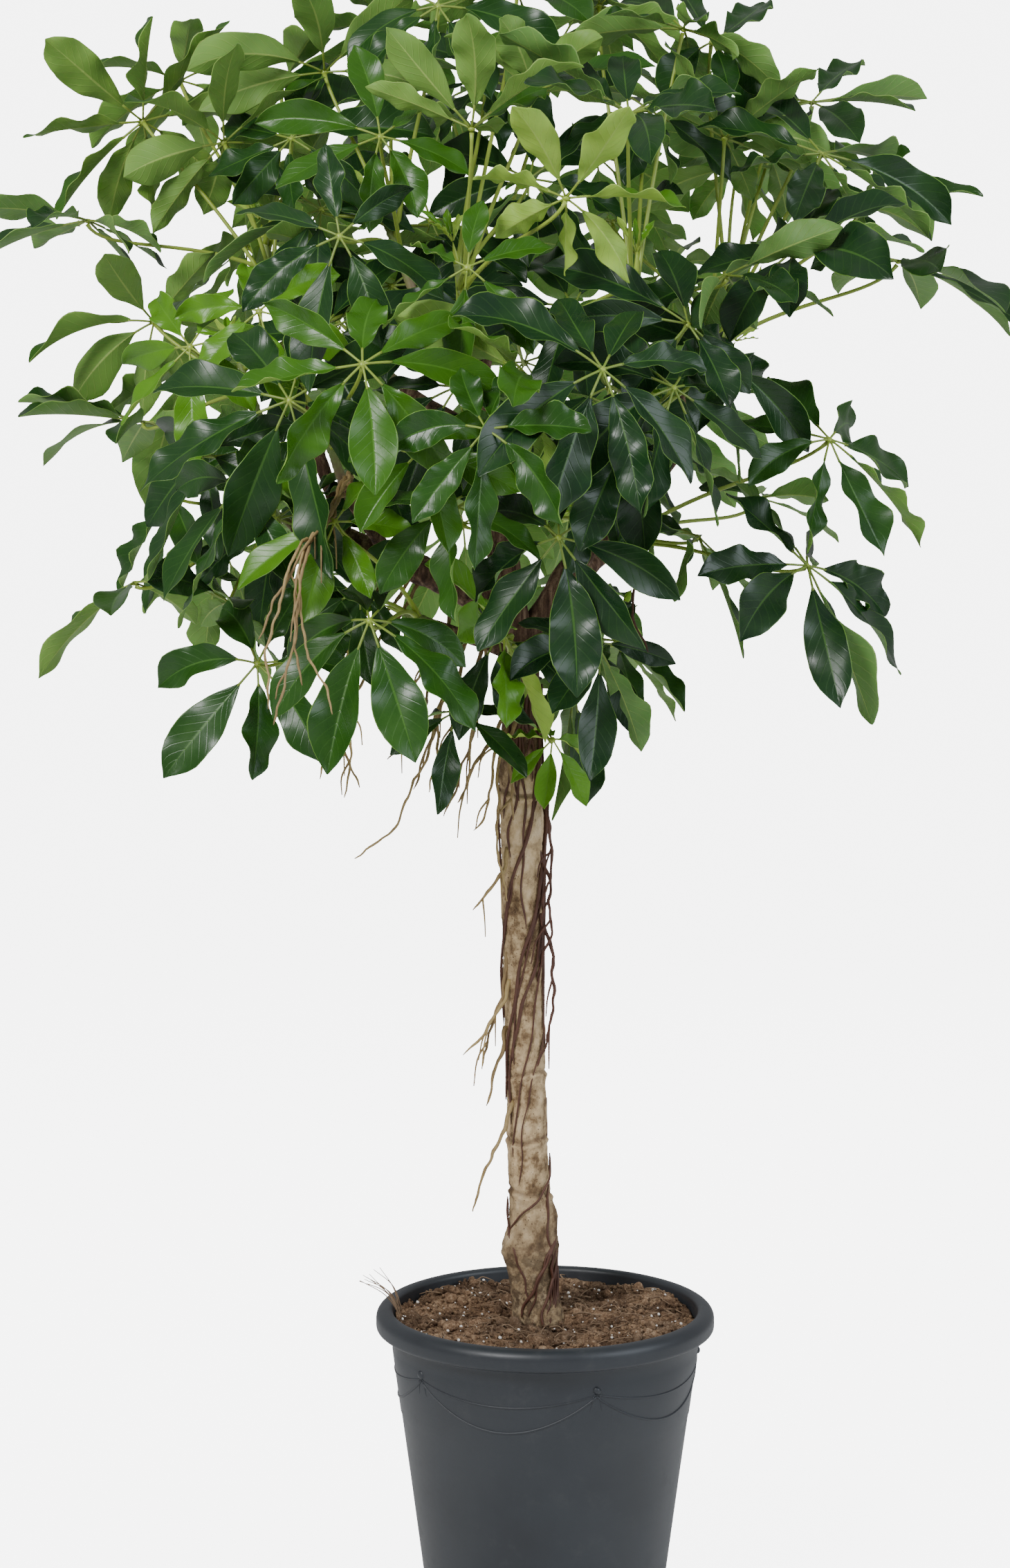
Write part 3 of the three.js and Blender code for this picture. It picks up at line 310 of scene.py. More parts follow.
def quads_between(count, sides, here, after):
    """The quads between rings, from each point here of a ring to the one after it."""
    rows = np.arange(count - 1)[:, None] * sides
    quads = np.stack([rows + here, rows + after, rows + sides + after, rows + sides + here], -1)
    return quads.reshape(-1, 4)


def loft(count, sides):
    """The faces of rings of as many points, laid one after another, and closed by a point at each
    end: quads between the rings, and a fan of triangles at each end."""
    here = np.arange(sides)
    after = (here + 1) % sides
    last = (count - 1) * sides
    start_fan = np.stack([np.full(sides, count * sides), after, here], -1)
    end_fan = np.stack([np.full(sides, count * sides + 1), last + here, last + after], -1)
    return quads_between(count, sides, here, after), start_fan, end_fan


def even(count):
    """count shares, evenly from 0 to 1."""
    return np.linspace(0, 1, count)


def angles(count):
    """count directions round a circle, in radians."""
    return np.arange(count) * tau / count


def spans(path):
    """The distance from each point of a path to the next."""
    return np.linalg.norm(np.diff(np.array(path, float), axis=0), axis=1)


def smooth(points, count):
    """count points, evenly spread along a smooth curve through these."""
    points = np.array(points, float)
    at = np.concatenate([[0], np.cumsum(spans(points))])
    slope = np.gradient(points, at, axis=0)
    wanted = np.linspace(0, at[-1], count)
    i = np.clip(np.searchsorted(at, wanted) - 1, 0, len(points) - 2)
    span = (at[i + 1] - at[i])[:, None]
    t = (wanted - at[i])[:, None] / span
    start = (2 * t**3 - 3 * t**2 + 1) * points[i] + (t**3 - 2 * t**2 + t) * span * slope[i]
    return start + (3 * t**2 - 2 * t**3) * points[i + 1] + (t**3 - t**2) * span * slope[i + 1]


ASIDE = (0.36, 0.91, 0.2)  # a direction that no path starts in


def tube_rings(path, radii, sides):
    """Rings across a path, with a radius for each."""
    ahead = unit(np.gradient(path, axis=0))
    turns = angles(sides)
    normal = unit(np.cross(ahead[0], ASIDE))
    rings = np.empty((len(path), sides, 3))
    for i, along in enumerate(ahead):
        normal = unit(normal - along * (normal @ along))
        spokes = np.outer(np.cos(turns), normal) + np.outer(np.sin(turns), np.cross(along, normal))
        rings[i] = path[i] + spokes * radii[i]
    return rings


def add_rings(surface, rings, slot=0, tone=0.0):
    """Adds lofted rings. A point's note is its turn round the ring, its share along, and the tone."""
    count, sides, _ = rings.shape
    turn, along = np.meshgrid(np.arange(sides) / sides, even(count))
    tones = np.broadcast_to(tone, turn.shape)
    notes = np.stack([turn, along, tones], -1).reshape(-1, 3)
    notes = np.vstack([notes, (0, 0, tones[0, 0]), (0, 1, tones[-1, 0])])
    points = np.vstack([rings.reshape(-1, 3), rings[0].mean(0), rings[-1].mean(0)])
    surface.add(points, loft(count, sides), (slot, slot, slot), notes)


def add_tube(surface, path, radii, sides, slot=0, tone=0.0):
    add_rings(surface, tube_rings(np.asarray(path, float), radii, sides), slot, tone)


def rough(points, scale, octaves, seed=0):
    """Smooth noise from -1 to 1 at each point, with features about scale millimetres across."""
    shift = Vector((seed * 7.3, seed * 3.1, seed * 5.7))
    flat = np.asarray(points, float).reshape(-1, 3) / scale
    values = [noise.fractal(Vector(p) + shift, 0.9, 2.1, octaves) for p in flat]
    return np.array(values).reshape(np.shape(points)[:-1])


def unit_ball(divisions):
    made = bmesh.new()
    bmesh.ops.create_icosphere(made, subdivisions=divisions, radius=1)
    points = np.array([v.co for v in made.verts])
    faces = np.array([[v.index for v in f.verts] for f in made.faces])
    made.free()
    return points, faces


BALLS = {1: unit_ball(1), 2: unit_ball(2)}


def add_lump(surface, centre, radii, seed, uneven, divisions=2):
    """Adds a ball, stretched to its three radii, swollen unevenly and turned as its seed says."""
    points, faces = BALLS[divisions]
    swell = 1 + uneven * rough(points + seed * 3.7, 1.1, 2)
    draw = Random(seed)
    spin = Vector((draw.random(), draw.random(), draw.random())).normalized()
    turned = np.array(spin.to_track_quat("Z", "Y").to_matrix())
    shaped = (points * swell[:, None] * radii) @ turned.T + centre
    surface.add(shaped, [faces], [0], (0, 0, 0))


# ---- materials


class Graph:
    """A material's nodes, made by short calls. Each returns the socket that comes next."""

    def __init__(self, name):
        self.material = bpy.data.materials.new(name)
        self.material.use_nodes = True
        self.tree = self.material.node_tree
        self.shader = self.tree.nodes["Principled BSDF"]

    def node(self, kind, inputs, **settings):
        made = self.tree.nodes.new("ShaderNode" + kind)
        for key, value in settings.items():
            setattr(made, key, value)
        for key, value in inputs.items():
            self.feed(made.inputs[key], value)
        return made

    def feed(self, socket, value):
        if isinstance(value, bpy.types.NodeSocket):
            self.tree.links.new(value, socket)
        elif hasattr(socket.default_value, "__len__") and len(socket.default_value) == 4:
            socket.default_value = (*value, 1.0)[:4]
        else:
            socket.default_value = value

    def place(self, scale=(1, 1, 1)):
        where = self.node("TexCoord", {}).outputs["Object"]
        return self.node("Mapping", {"Vector": where, "Scale": scale}).outputs["Vector"]

    def notes(self):
        read = self.node("Attribute", {}, attribute_name="note").outputs["Vector"]
        return self.node("SeparateXYZ", {"Vector": read}).outputs

    def noise(self, where, scale, detail=4, rough=0.55):
        inputs = {"Vector": where, "Scale": scale, "Detail": detail, "Roughness": rough}
        return self.node("TexNoise", inputs).outputs["Fac"]

    def cells(self, where, scale):
        return self.node("TexVoronoi", {"Vector": where, "Scale": scale}).outputs["Distance"]

    def math(self, operation, a, b=0.0):
        return self.node("Math", {0: a, 1: b}, operation=operation).outputs[0]

    def times(self, a, b):
        return self.math("MULTIPLY", a, b)

    def plus(self, a, b):
        return self.math("ADD", a, b)

    def fade(self, value, low, high, start=0.0, end=1.0):
        """start below low, end above high, and a smooth change between."""
        inputs = {"Value": value, "From Min": low, "From Max": high, "To Min": start, "To Max": end}
        return self.node("MapRange", inputs, interpolation_type="SMOOTHSTEP").outputs["Result"]

    def mix(self, share, a, b):
        made = self.node("Mix", {}, data_type="RGBA")
        for socket, value in zip([made.inputs[0], made.inputs[6], made.inputs[7]], [share, a, b]):
            self.feed(socket, value)
        return made.outputs[2]

    def ramp(self, value, stops):
        made = self.node("ValToRGB", {"Fac": value})
        line = made.color_ramp.elements
        while len(line) < len(stops):
            line.new(0.5)
        for element, (at, colour) in zip(line, stops):
            element.position = at
            element.color = (*colour, 1)
        return made.outputs["Color"]

    def bump(self, height, distance, strength, under=None):
        inputs = {"Height": height, "Distance": distance, "Strength": strength}
        if under:
            inputs["Normal"] = under
        return self.node("Bump", inputs).outputs["Normal"]

    def finish(self, colour, roughness, **sockets):
        sockets = {"Base_Color": colour, "Roughness": roughness, **sockets}
        for name, value in sockets.items():
            self.feed(self.shader.inputs[name.replace("_", " ")], value)
        return self.material


def pot_material():
    g = Graph("moulded_pot_plastic")
    where = g.place()
    broad = g.noise(where, 9, 3)
    fine = g.noise(where, 900, 3)
    dust = g.fade(g.noise(where, 34, 6, 0.7), 0.52, 0.78)
    colour = g.mix(g.fade(broad, 0.3, 0.7), (0.0165, 0.0195, 0.0245), (0.0235, 0.0275, 0.0335))
    colour = g.mix(g.times(dust, 0.10), colour, (0.13, 0.125, 0.12))
    rough_value = g.plus(g.times(dust, 0.12), g.fade(broad, 0.2, 0.8, 0.4, 0.5))
    normal = g.bump(fine, 0.00012, 0.5)
    normal = g.bump(g.noise(g.place((1, 1, 6)), 7, 2), 0.0012, 0.3, normal)
    return g.finish(colour, rough_value, Normal=normal, Specular_IOR_Level=0.5)


def soil_material():
    g = Graph("moist_peat")
    where = g.place()
    grain = g.noise(where, 300, 8, 0.72)
    patch = g.noise(where, 24, 5, 0.6)
    damp = g.fade(g.noise(where, 15, 5, 0.65), 0.43, 0.57)
    # Partly painted shade: the ramp's dark end falls in the hollows of the grain's bump
    colour = g.ramp(g.plus(g.times(grain, 0.55), g.times(patch, 0.45)), [
        (0.34, (0.036, 0.019, 0.011)), (0.44, (0.135, 0.078, 0.044)),
        (0.53, (0.28, 0.178, 0.106)), (0.66, (0.54, 0.39, 0.26)),
    ])
    colour = g.mix(g.times(damp, 0.62), colour, (0.042, 0.023, 0.014))
    speck = g.fade(g.noise(where, 620, 3, 0.7), 0.60, 0.70, 0.0, 0.55)
    colour = g.mix(speck, colour, (0.56, 0.44, 0.33))
    normal = g.bump(grain, 0.0026, 1.0)
    return g.finish(colour, 0.95, Normal=normal, Specular_IOR_Level=0.2)


def perlite_material():
    g = Graph("perlite")
    grain = g.noise(g.place(), 500, 3)
    colour = g.mix(grain, (0.62, 0.58, 0.52), (0.86, 0.84, 0.80))
    return g.finish(colour, 0.9, Normal=g.bump(grain, 0.0006, 0.6))


def fibre_material():
    g = Graph("dry_fibre")
    grain = g.noise(g.place(), 180, 3)
    colour = g.mix(grain, (0.085, 0.048, 0.028), (0.30, 0.205, 0.125))
    return g.finish(colour, 0.85)


def bark_material():
    g = Graph("trunk_bark")
    where = g.place()
    scar_groove = g.notes()["Z"]
    height = g.node("SeparateXYZ", {"Vector": g.node("TexCoord", {}).outputs["Object"]}).outputs["Z"]
    broad = g.noise(g.place((1, 1, 0.7)), 26, 3, 0.5)
    patch = g.noise(g.place((1, 1, 0.8)), 78, 8, 0.68)
    blend = g.plus(g.times(broad, 0.45), g.times(patch, 0.55))
    pale = g.ramp(blend, [
        (0.37, (0.078, 0.042, 0.02)), (0.44, (0.23, 0.148, 0.076)), (0.48, (0.41, 0.29, 0.162)),
        (0.53, (0.58, 0.42, 0.235)), (0.62, (0.74, 0.575, 0.365)),
    ])
    brown = g.ramp(g.noise(g.place((1, 1, 0.10)), 150, 6, 0.62), [
        (0.36, (0.04, 0.019, 0.012)), (0.50, (0.12, 0.066, 0.042)), (0.66, (0.29, 0.19, 0.13)),
    ])
    wobble = g.times(g.noise(where, 22, 3), 0.10)
    upper = g.fade(g.plus(height, wobble), 0.945, 1.01)
    colour = g.mix(upper, pale, brown)
    spots = g.fade(g.cells(where, 260), 0.14, 0.26, 1.0, 0.0)
    some = g.fade(g.noise(where, 70, 4), 0.46, 0.60)
    colour = g.mix(g.times(g.times(spots, some), 0.8), colour, (0.06, 0.032, 0.018))
    foot = g.fade(height, 0.35, 0.50, 1.0, 0.0)
    stain = g.times(foot, g.fade(g.noise(where, 90, 6, 0.7), 0.40, 0.58, 0.5, 0.95))
    colour = g.mix(stain, colour, (0.092, 0.06, 0.034))
    # Darker along the groove under each ring scar
    colour = g.mix(g.times(scar_groove, 0.55), colour, (0.10, 0.058, 0.034))
    fine = g.noise(g.place((1, 1, 0.5)), 480, 6, 0.65)
    normal = g.bump(fine, 0.0016, 0.8)
    normal = g.bump(patch, 0.003, 0.6, normal)
    return g.finish(colour, 0.86, Normal=normal, Specular_IOR_Level=0.3)


def root_material():
    g = Graph("aerial_root_skin")
    parts = g.notes()
    grain = g.noise(g.place((1, 1, 0.4)), 320, 4)
    dark = g.mix(grain, (0.034, 0.011, 0.006), (0.125, 0.044, 0.022))
    dry = g.mix(grain, (0.15, 0.082, 0.03), (0.52, 0.39, 0.16))
    colour = g.mix(g.fade(parts["Z"], 0.1, 0.9), dark, dry)
    return g.finish(colour, 0.62, Normal=g.bump(grain, 0.0007, 0.6))


# How far each colour of light goes inside green tissue
GREEN_SCATTER = {"Subsurface_Scale": 0.002, "Subsurface_Radius": (0.35, 1.0, 0.2)}


def stalk_material():
    g = Graph("green_stalk")
    parts = g.notes()
    grain = g.noise(g.place(), 210, 3)
    green = g.mix(parts["Z"], (0.075, 0.14, 0.022), (0.36, 0.48, 0.055))
    colour = g.mix(g.fade(grain, 0.4, 0.75, 0.0, 0.35), green, (0.23, 0.24, 0.06))
    return g.finish(colour, 0.42, Normal=g.bump(grain, 0.0002, 0.4), Subsurface_Weight=0.12, **GREEN_SCATTER)


def shoot_material():
    g = Graph("green_shoot_bark")
    parts = g.notes()
    grain = g.noise(g.place((1, 1, 0.3)), 170, 5)
    green = g.mix(grain, (0.105, 0.16, 0.04), (0.215, 0.275, 0.075))
    brown = g.mix(grain, (0.12, 0.078, 0.04), (0.30, 0.215, 0.13))
    along = g.plus(parts["Y"], g.times(grain, 0.5))
    colour = g.mix(g.fade(along, 0.25, 0.75), brown, green)
    return g.finish(colour, 0.6, Normal=g.bump(grain, 0.0008, 0.6))


def leaf_pattern(name, spots, uneven):
    """A leaf material's graph, where its rib, side veins and margin are, its mottle and its tone."""
    g = Graph(name)
    parts = g.notes()
    across = g.math("ABSOLUTE", parts["X"])
    rib_width = g.fade(parts["Y"], 0.0, 1.0, 0.085, 0.018)
    rib = g.fade(g.math("DIVIDE", across, rib_width), 0.5, 1.1, 1.0, 0.0)
    phase = g.math("SUBTRACT", g.times(parts["Y"], 10.0), g.times(across, 2.3))
    saw = g.math("ABSOLUTE", g.math("SUBTRACT", g.math("FRACT", phase), 0.5))
    veins = g.times(g.fade(saw, 0.40, 0.49), g.fade(across, 0.75, 0.98, 1.0, 0.0))
    margin = g.fade(across, 0.955, 0.985)
    mottle = g.noise(g.place(), spots, 4)
    tone = g.plus(parts["Z"], g.times(g.math("SUBTRACT", mottle, 0.5), uneven))
    return g, rib, veins, margin, mottle, tone


def leaf_top_material():
    g, rib, veins, margin, mottle, tone = leaf_pattern("leaf_upper_side", 30, 0.35)
    # Partly painted shade: the dark, bluish end is for leaves given low tones on the shaded right
    colour = g.ramp(tone, [
        (0.02, (0.006, 0.025, 0.009)), (0.30, (0.014, 0.06, 0.0055)),
        (0.60, (0.034, 0.115, 0.004)), (0.98, (0.10, 0.26, 0.008)),
    ])
    light = g.mix(0.45, colour, (0.12, 0.28, 0.04))
    colour = g.mix(g.times(veins, 0.12), colour, light)
    colour = g.mix(g.times(rib, 0.6), colour, light)
    colour = g.mix(g.times(margin, 0.8), colour, (0.17, 0.33, 0.05))
    relief = g.plus(g.times(veins, -0.2), g.times(mottle, 0.6))
    normal = g.bump(relief, 0.0009, 0.5)
    normal = g.bump(g.noise(g.place(), 500, 2), 0.00008, 0.4, normal)
    gloss = g.fade(mottle, 0.3, 0.75, 0.26, 0.40)
    return g.finish(colour, gloss, Normal=normal, Specular_IOR_Level=0.32)


def leaf_under_material():
    g, rib, veins, margin, mottle, tone = leaf_pattern("leaf_under_side", 34, 0.4)
    # Partly painted shade: low tones, given to leaves on the shaded right, darken this ramp
    colour = g.ramp(tone, [
        (0.05, (0.098, 0.205, 0.05)), (0.50, (0.17, 0.305, 0.052)), (0.95, (0.37, 0.55, 0.07)),
    ])
    pale = g.mix(0.6, colour, (0.40, 0.52, 0.13))
    colour = g.mix(g.times(veins, 0.22), colour, pale)
    colour = g.mix(g.math("MAXIMUM", rib, g.times(margin, 0.6)), colour, pale)
    relief = g.plus(g.times(veins, 0.5), g.times(mottle, 0.3))
    return g.finish(colour, 0.55, Normal=g.bump(relief, 0.0008, 0.6), Specular_IOR_Level=0.3,
                    Subsurface_Weight=0.2, **GREEN_SCATTER)


# ---- leaves


def toward(lean, heading):
    lean, heading = radians(lean), radians(heading)
    return np.array([sin(lean) * cos(heading), sin(lean) * sin(heading), cos(lean)])


def leaf_start(index, count):
    """The share of a shoot's length at which its leaf of this index, of count in all, starts."""
    return 0.35 + 0.65 * (index + 1) / count


def leaf_frame(base, tip, row, index, count):
    """Where a leaf sits and how it is turned, and where its stalk starts on the shoot."""
    centre = np.array(row[:3], float)
    size, lean, heading, droop, tone = row[3:]
    start = np.array(base) + (np.array(tip) - np.array(base)) * leaf_start(index, count)
    axis = toward(lean, heading)
    out = centre - start
    out = unit(out - axis * (out @ axis))
    return {"size": size, "droop": droop, "tone": tone, "index": index, "centre": centre, "start": start,
            "axis": axis, "out": out, "side": np.cross(axis, out)}


LINE_STEPS = 40
DOWN = np.array([0.0, 0.0, -1.0])


def leaflet_line(leaf, turn, change, draw):
    """A leaflet's rib, from the leaf's centre to the tip: points, normals and right-hand sides."""
    size, axis = leaf["size"], leaf["axis"]
    reach = LEAFLET_LENGTH * size * (0.84 + 0.16 * cos(turn)) * change["length"] * draw["length"]
    radial = leaf["out"] * cos(turn) + leaf["side"] * sin(turn)
    drop = radians(leaf["droop"] + change["droop"] + 5 * sin(3 * turn + leaf["index"]))
    aside = np.cross(axis, radial)
    first = unit(radial * cos(drop) - axis * sin(drop) + aside * change["swing"])
    bend = BEND * (1 - 0.7 * max(0.0, first[2])) * draw["bend"]
    share = even(LINE_STEPS + 1)[:, None]
    fall = DOWN * bend * (share + 0.5 * share**4)
    ahead = unit(first + fall + aside * draw["curve"] * (share - 0.3))
    points = leaf["centre"] + first * HUB_RADIUS * 0.5
    points = points + np.vstack([np.zeros(3), np.cumsum(ahead[1:], axis=0) * reach / LINE_STEPS])
    normals = unit(axis - ahead * (ahead @ axis)[:, None])
    rights = np.cross(ahead, normals)
    twist = draw["twist"] * (0.3 + 0.7 * share)
    normals, rights = (normals * np.cos(twist) + rights * np.sin(twist),
                       rights * np.cos(twist) - normals * np.sin(twist))
    return {"points": points, "normals": normals, "rights": rights,
            "width": LEAFLET_WIDTH * size * (0.88 + 0.12 * cos(turn)) * draw["width"]}


def along_line(line, shares):
    """A line's points, normals and right-hand sides at shares of its length."""
    at = even(LINE_STEPS + 1)
    return [np.stack([np.interp(shares, at, line[key][:, k]) for k in range(3)], -1)
            for key in ("points", "normals", "rights")]


# The blade's half width at shares of its own length: narrow at the foot, widest past the middle, and
# drawn out into a short point
OUTLINE_AT = [0, 0.04, 0.12, 0.24, 0.38, 0.52, 0.64, 0.75, 0.84, 0.91, 0.95, 0.98, 1]
OUTLINE = [0.03, 0.11, 0.32, 0.62, 0.87, 0.99, 1, 0.88, 0.66, 0.40, 0.21, 0.09, 0.02]


def half_width(blade, width):
    """Half the blade's width at a share of the blade's own length."""
    return width / 2 * np.interp(np.clip(blade, 0, 1), OUTLINE_AT, OUTLINE)


# A blade's ring, out along its upper face from one margin to the other and back along the lower: how
# far across each point is, in half widths, and on which face
ACROSS = np.array([-1, -0.95, -0.6, -0.1, 0, 0.1, 0.6, 0.95, 1, 0.95, 0.6, 0.1, 0, -0.1, -0.6, -0.95])
UPPER = np.array([0, 1, 1, 1, 1, 1, 1, 1, 0, -1, -1, -1, -1, -1, -1, -1])
# The rings' shares of the blade's length, closer together towards the tip
STATIONS = np.array([
    0.01, 0.05, 0.1, 0.15, 0.2, 0.25, 0.3, 0.35, 0.4, 0.45, 0.5, 0.55, 0.6, 0.65, 0.7, 0.75, 0.8, 0.84,
    0.88, 0.915, 0.945, 0.97, 0.987,
])[:, None]
GROOVE, RIDGE = 0.3, 0.9  # how deep the rib lies in the upper face, and how far it stands out below


def sheet(line, shares, across, rise):
    """Rings of points beside a line, each so far across it to the right and so far above it."""
    points, normals, rights = along_line(line, shares)
    return points[:, None] + rights[:, None] * across[..., None] + normals[:, None] * rise[..., None]


def add_blade(surface, line, size, tone, draw):
    """A leaflet's blade: a thin closed sheet, folded along its rib, with waved edges."""
    half = half_width(STATIONS, line["width"])
    away = np.abs(ACROSS)
    swing = np.sin(tau * draw["waves"] * STATIONS + draw["phase"] + 2.1 * (ACROSS > 0))
    waving = draw["wave"] * size * swing * away**1.7 * np.sqrt(half / half.max())
    rib = np.where(ACROSS == 0, np.where(UPPER > 0, -GROOVE, -RIDGE * (1 - 0.7 * STATIONS)), 0)
    rise = half * draw["fold"] * away**1.5 + waving + rib + UPPER * BLADE_THICKNESS / 2
    uneven = 1 + 0.025 * np.sin(tau * 2.3 * STATIONS + draw["phase"])
    rings = sheet(line, STALK_SHARE + (1 - STALK_SHARE) * STATIONS[:, 0], half * uneven * ACROSS, rise)
    ends = along_line(line, [STALK_SHARE, 1.0])[0]
    notes = np.stack(np.broadcast_arrays(ACROSS, STATIONS, tone), -1).reshape(-1, 3)
    notes = np.vstack([notes, (0, 0, tone), (0, 1, tone)])
    quads, start_fan, end_fan = loft(*rings.shape[:2])
    below = np.arange(len(ACROSS)) >= len(ACROSS) // 2
    below_all = np.tile(below, len(STATIONS) - 1)
    fan_slots = np.where(below, UNDER, TOP)
    quad_slots = np.where(below_all, UNDER, TOP).repeat(2)
    surface.add(np.vstack([rings.reshape(-1, 3), ends]), (split(quads, below_all), start_fan, end_fan),
                (quad_slots, fan_slots, fan_slots), notes)


def add_leaflet(surface, line, size, tone, draw):
    shares = np.linspace(0, STALK_SHARE + 0.03, 6)
    radii = np.interp(shares, [0, 0.04, STALK_SHARE], [1.7, 1.15, 1.35]) * (0.5 + 0.5 * size)
    add_tube(surface, along_line(line, shares)[0], radii, 6, STALK, 0.25 + 0.5 * tone)
    add_blade(surface, line, size, tone, draw)


def stalk_path(leaf, bow, count):
    """The stalk's course, from inside the shoot to just under the leaf's centre."""
    end = leaf["centre"] - leaf["axis"] * 4
    start = leaf["start"]
    length = np.linalg.norm(end - start)
    away = unit(end - start)
    across = unit(np.cross(away, (0, 0, 1)))
    aside = np.array([0, 0, length * bow["rise"]]) + across * length * bow["across"]
    first = start + away * length * 0.4 + aside
    last = end - leaf["axis"] * length * 0.14 - away * length * 0.1
    t = even(count)[:, None]
    return (1 - t)**3 * start + 3 * (1 - t)**2 * t * first + 3 * (1 - t) * t**2 * last + t**3 * end


class Room:
    """What is already in place, so that the next leaflet can be bent clear of it."""

    def __init__(self):
        self.low, self.high, self.trees, self.owners = [], [], [], []

    def shell(self, rings):
        """A search tree of the sheet through these rings, and its box."""
        count, sides, _ = rings.shape
        here = np.arange(sides - 1)
        quads = quads_between(count, sides, here, here + 1)
        flat = rings.reshape(-1, 3)
        return BVHTree.FromPolygons(flat.tolist(), quads.tolist()), flat.min(0), flat.max(0)

    def blocks(self, trial, owner):
        tree, low, high = trial
        near = np.all((np.array(self.low) <= high) & (np.array(self.high) >= low), axis=1)
        return any(self.owners[i] != owner and self.trees[i].overlap(tree) for i in np.flatnonzero(near))

    def add(self, trial, owner):
        tree, low, high = trial
        self.trees.append(tree)
        self.low.append(low)
        self.high.append(high)
        self.owners.append(owner)

    def add_tube(self, path, radii, sides, owner):
        self.add(self.shell(closed_rings(path, radii, sides)), owner)


def split(quads, other_way):
    """Each quad as two triangles, cut along its other diagonal where other_way says so."""
    one, two = quads[:, [0, 1, 2]], quads[:, [0, 2, 3]]
    third, fourth = quads[:, [0, 1, 3]], quads[:, [1, 2, 3]]
    flip = other_way[:, None]
    return np.stack([np.where(flip, third, one), np.where(flip, fourth, two)], 1).reshape(-1, 3)


def closed_rings(path, radii, sides):
    rings = tube_rings(path, radii, sides)
    return np.concatenate([rings, rings[:, :1]], axis=1)


def blade_rings(line):
    """A leaflet's few points for the search for room: its shape without the waves, a little wider."""
    shares = np.array([0.1, 0.24, 0.4, 0.55, 0.7, 0.85, 1.0])
    half = half_width((shares - STALK_SHARE) / (1 - STALK_SHARE), line["width"])[:, None]
    half = np.maximum(half, 1.5)
    columns = np.array([-1.04, -0.5, 0, 0.5, 1.04])
    return sheet(line, shares, half * columns, half * FOLD * np.abs(columns) ** 1.5)


# What is tried in turn where there is no room: bows of a stalk, and changes to a leaflet
BOWS = [{"rise": rise, "across": across}
        for rise in (0.1, -0.04, 0.22, -0.16, 0.34)
        for across in (0, 0.12, -0.12, 0.26, -0.26, 0.4, -0.4)]
CHANGES = [{"length": length, "droop": droop, "swing": swing}
           for length in (1, 0.9, 0.78)
           for droop in (0, 9, -9, 18, -18, 30)
           for swing in (0, 0.14, -0.14)]


def leaflet_draw(draw):
    """What sets one leaflet apart from the next."""
    return {
        "bend": draw.uniform(0.4, 1.9), "twist": draw.triangular(-1.7, 1.7, 0),
        "width": draw.uniform(0.82, 1.12), "length": draw.uniform(0.86, 1.14),
        "curve": draw.uniform(-0.34, 0.34), "waves": draw.uniform(1.7, 3.2),
        "phase": draw.uniform(0, tau), "wave": WAVE * draw.uniform(0.4, 1.5),
        "fold": FOLD * draw.triangular(0.1, 2.6, 0.8),
    }


def leaflet_count(size):
    return 6 + sum(size > least for least in (0.8, 0.97, 1.08))


def plan_leaves(room):
    """Every leaf's stalk and leaflets, placed so that they stay clear of each other."""
    leaves = []
    for name, (_, base, tip, rows) in SHOOTS.items():
        for index, row in enumerate(rows):
            leaf = leaf_frame(base, tip, row, index, len(rows))
            owner = f"{name} {index}"
            for bow in BOWS:
                course = stalk_path(leaf, bow, 9)[1:]
                trial = room.shell(closed_rings(course, [STALK_RADIUS + 1] * len(course), 4))
                if not room.blocks(trial, name):
                    break
            room.add(trial, owner)
            leaves.append({"shoot": name, "leaf": leaf, "bow": bow, "owner": owner, "leaflets": []})
    lost = 0
    for order, made in enumerate(leaves):
        draw = Random(1000 + order)
        count = leaflet_count(made["leaf"]["size"])
        for i in range(count):
            turn = -pi + tau * (i + 0.5) / count + draw.uniform(-0.14, 0.14)
            own_draw = leaflet_draw(draw)
            for change in CHANGES:
                line = leaflet_line(made["leaf"], turn, change, own_draw)
                trial = room.shell(blade_rings(line))
                if not room.blocks(trial, made["owner"]):
                    room.add(trial, f"{made['owner']} {i}")
                    made["leaflets"].append((line, own_draw))
                    break
            else:
                lost += 1
    print("leaves", len(leaves), "leaflets left out", lost)
    return leaves


def stem_path(base, tip, count):
    base, tip = np.array(base, float), np.array(tip, float)
    along = unit(tip - base)
    side = unit(np.cross((0.3, 0.2, 1), along))
    end = tip + along * 8
    middle = base + (end - base) * 0.6 + side * 3
    return smooth([base, base + along * 8, middle, end], count)


def stem_radii(count, leaves):
    """The shoot's radius along it, with a swelling at each leaf."""
    share = even(count)
    radii = SHOOT_RADIUS * (1 - 0.38 * share)
    for index in range(leaves):
        scar = leaf_start(index, leaves) * 0.97
        radii = radii + 0.7 * np.exp(-((share - scar) / 0.03) ** 2)
    return radii + 0.25 * np.sin(share * 90)


BUD_LEAFLETS = 5
BUD_SIZE = 0.3  # of a full leaf's


def add_bud(surface, tip, along, seed):
    """The growing point: a pointed bud and a few small folded leaflets."""
    draw = Random(seed)
    path = np.array([tip + along * d for d in (4, 9, 15, 21, 26)])
    add_tube(surface, path, [3.4, 3.2, 2.4, 1.3, 0.3], 8, STALK, 0.9)
    across = unit(np.cross(along, (0.2, 0.9, 0.1)))
    leaf = {"size": BUD_SIZE, "axis": along, "out": across, "side": np.cross(along, across),
            "centre": path[-1], "droop": -58, "index": seed}
    for i in range(BUD_LEAFLETS):
        own_draw = leaflet_draw(draw)
        turn = -pi + tau * (i + 0.5) / BUD_LEAFLETS
        line = leaflet_line(leaf, turn, CHANGES[0], own_draw)
        line["width"] *= 0.7
        add_leaflet(surface, line, BUD_SIZE, 0.95, own_draw)


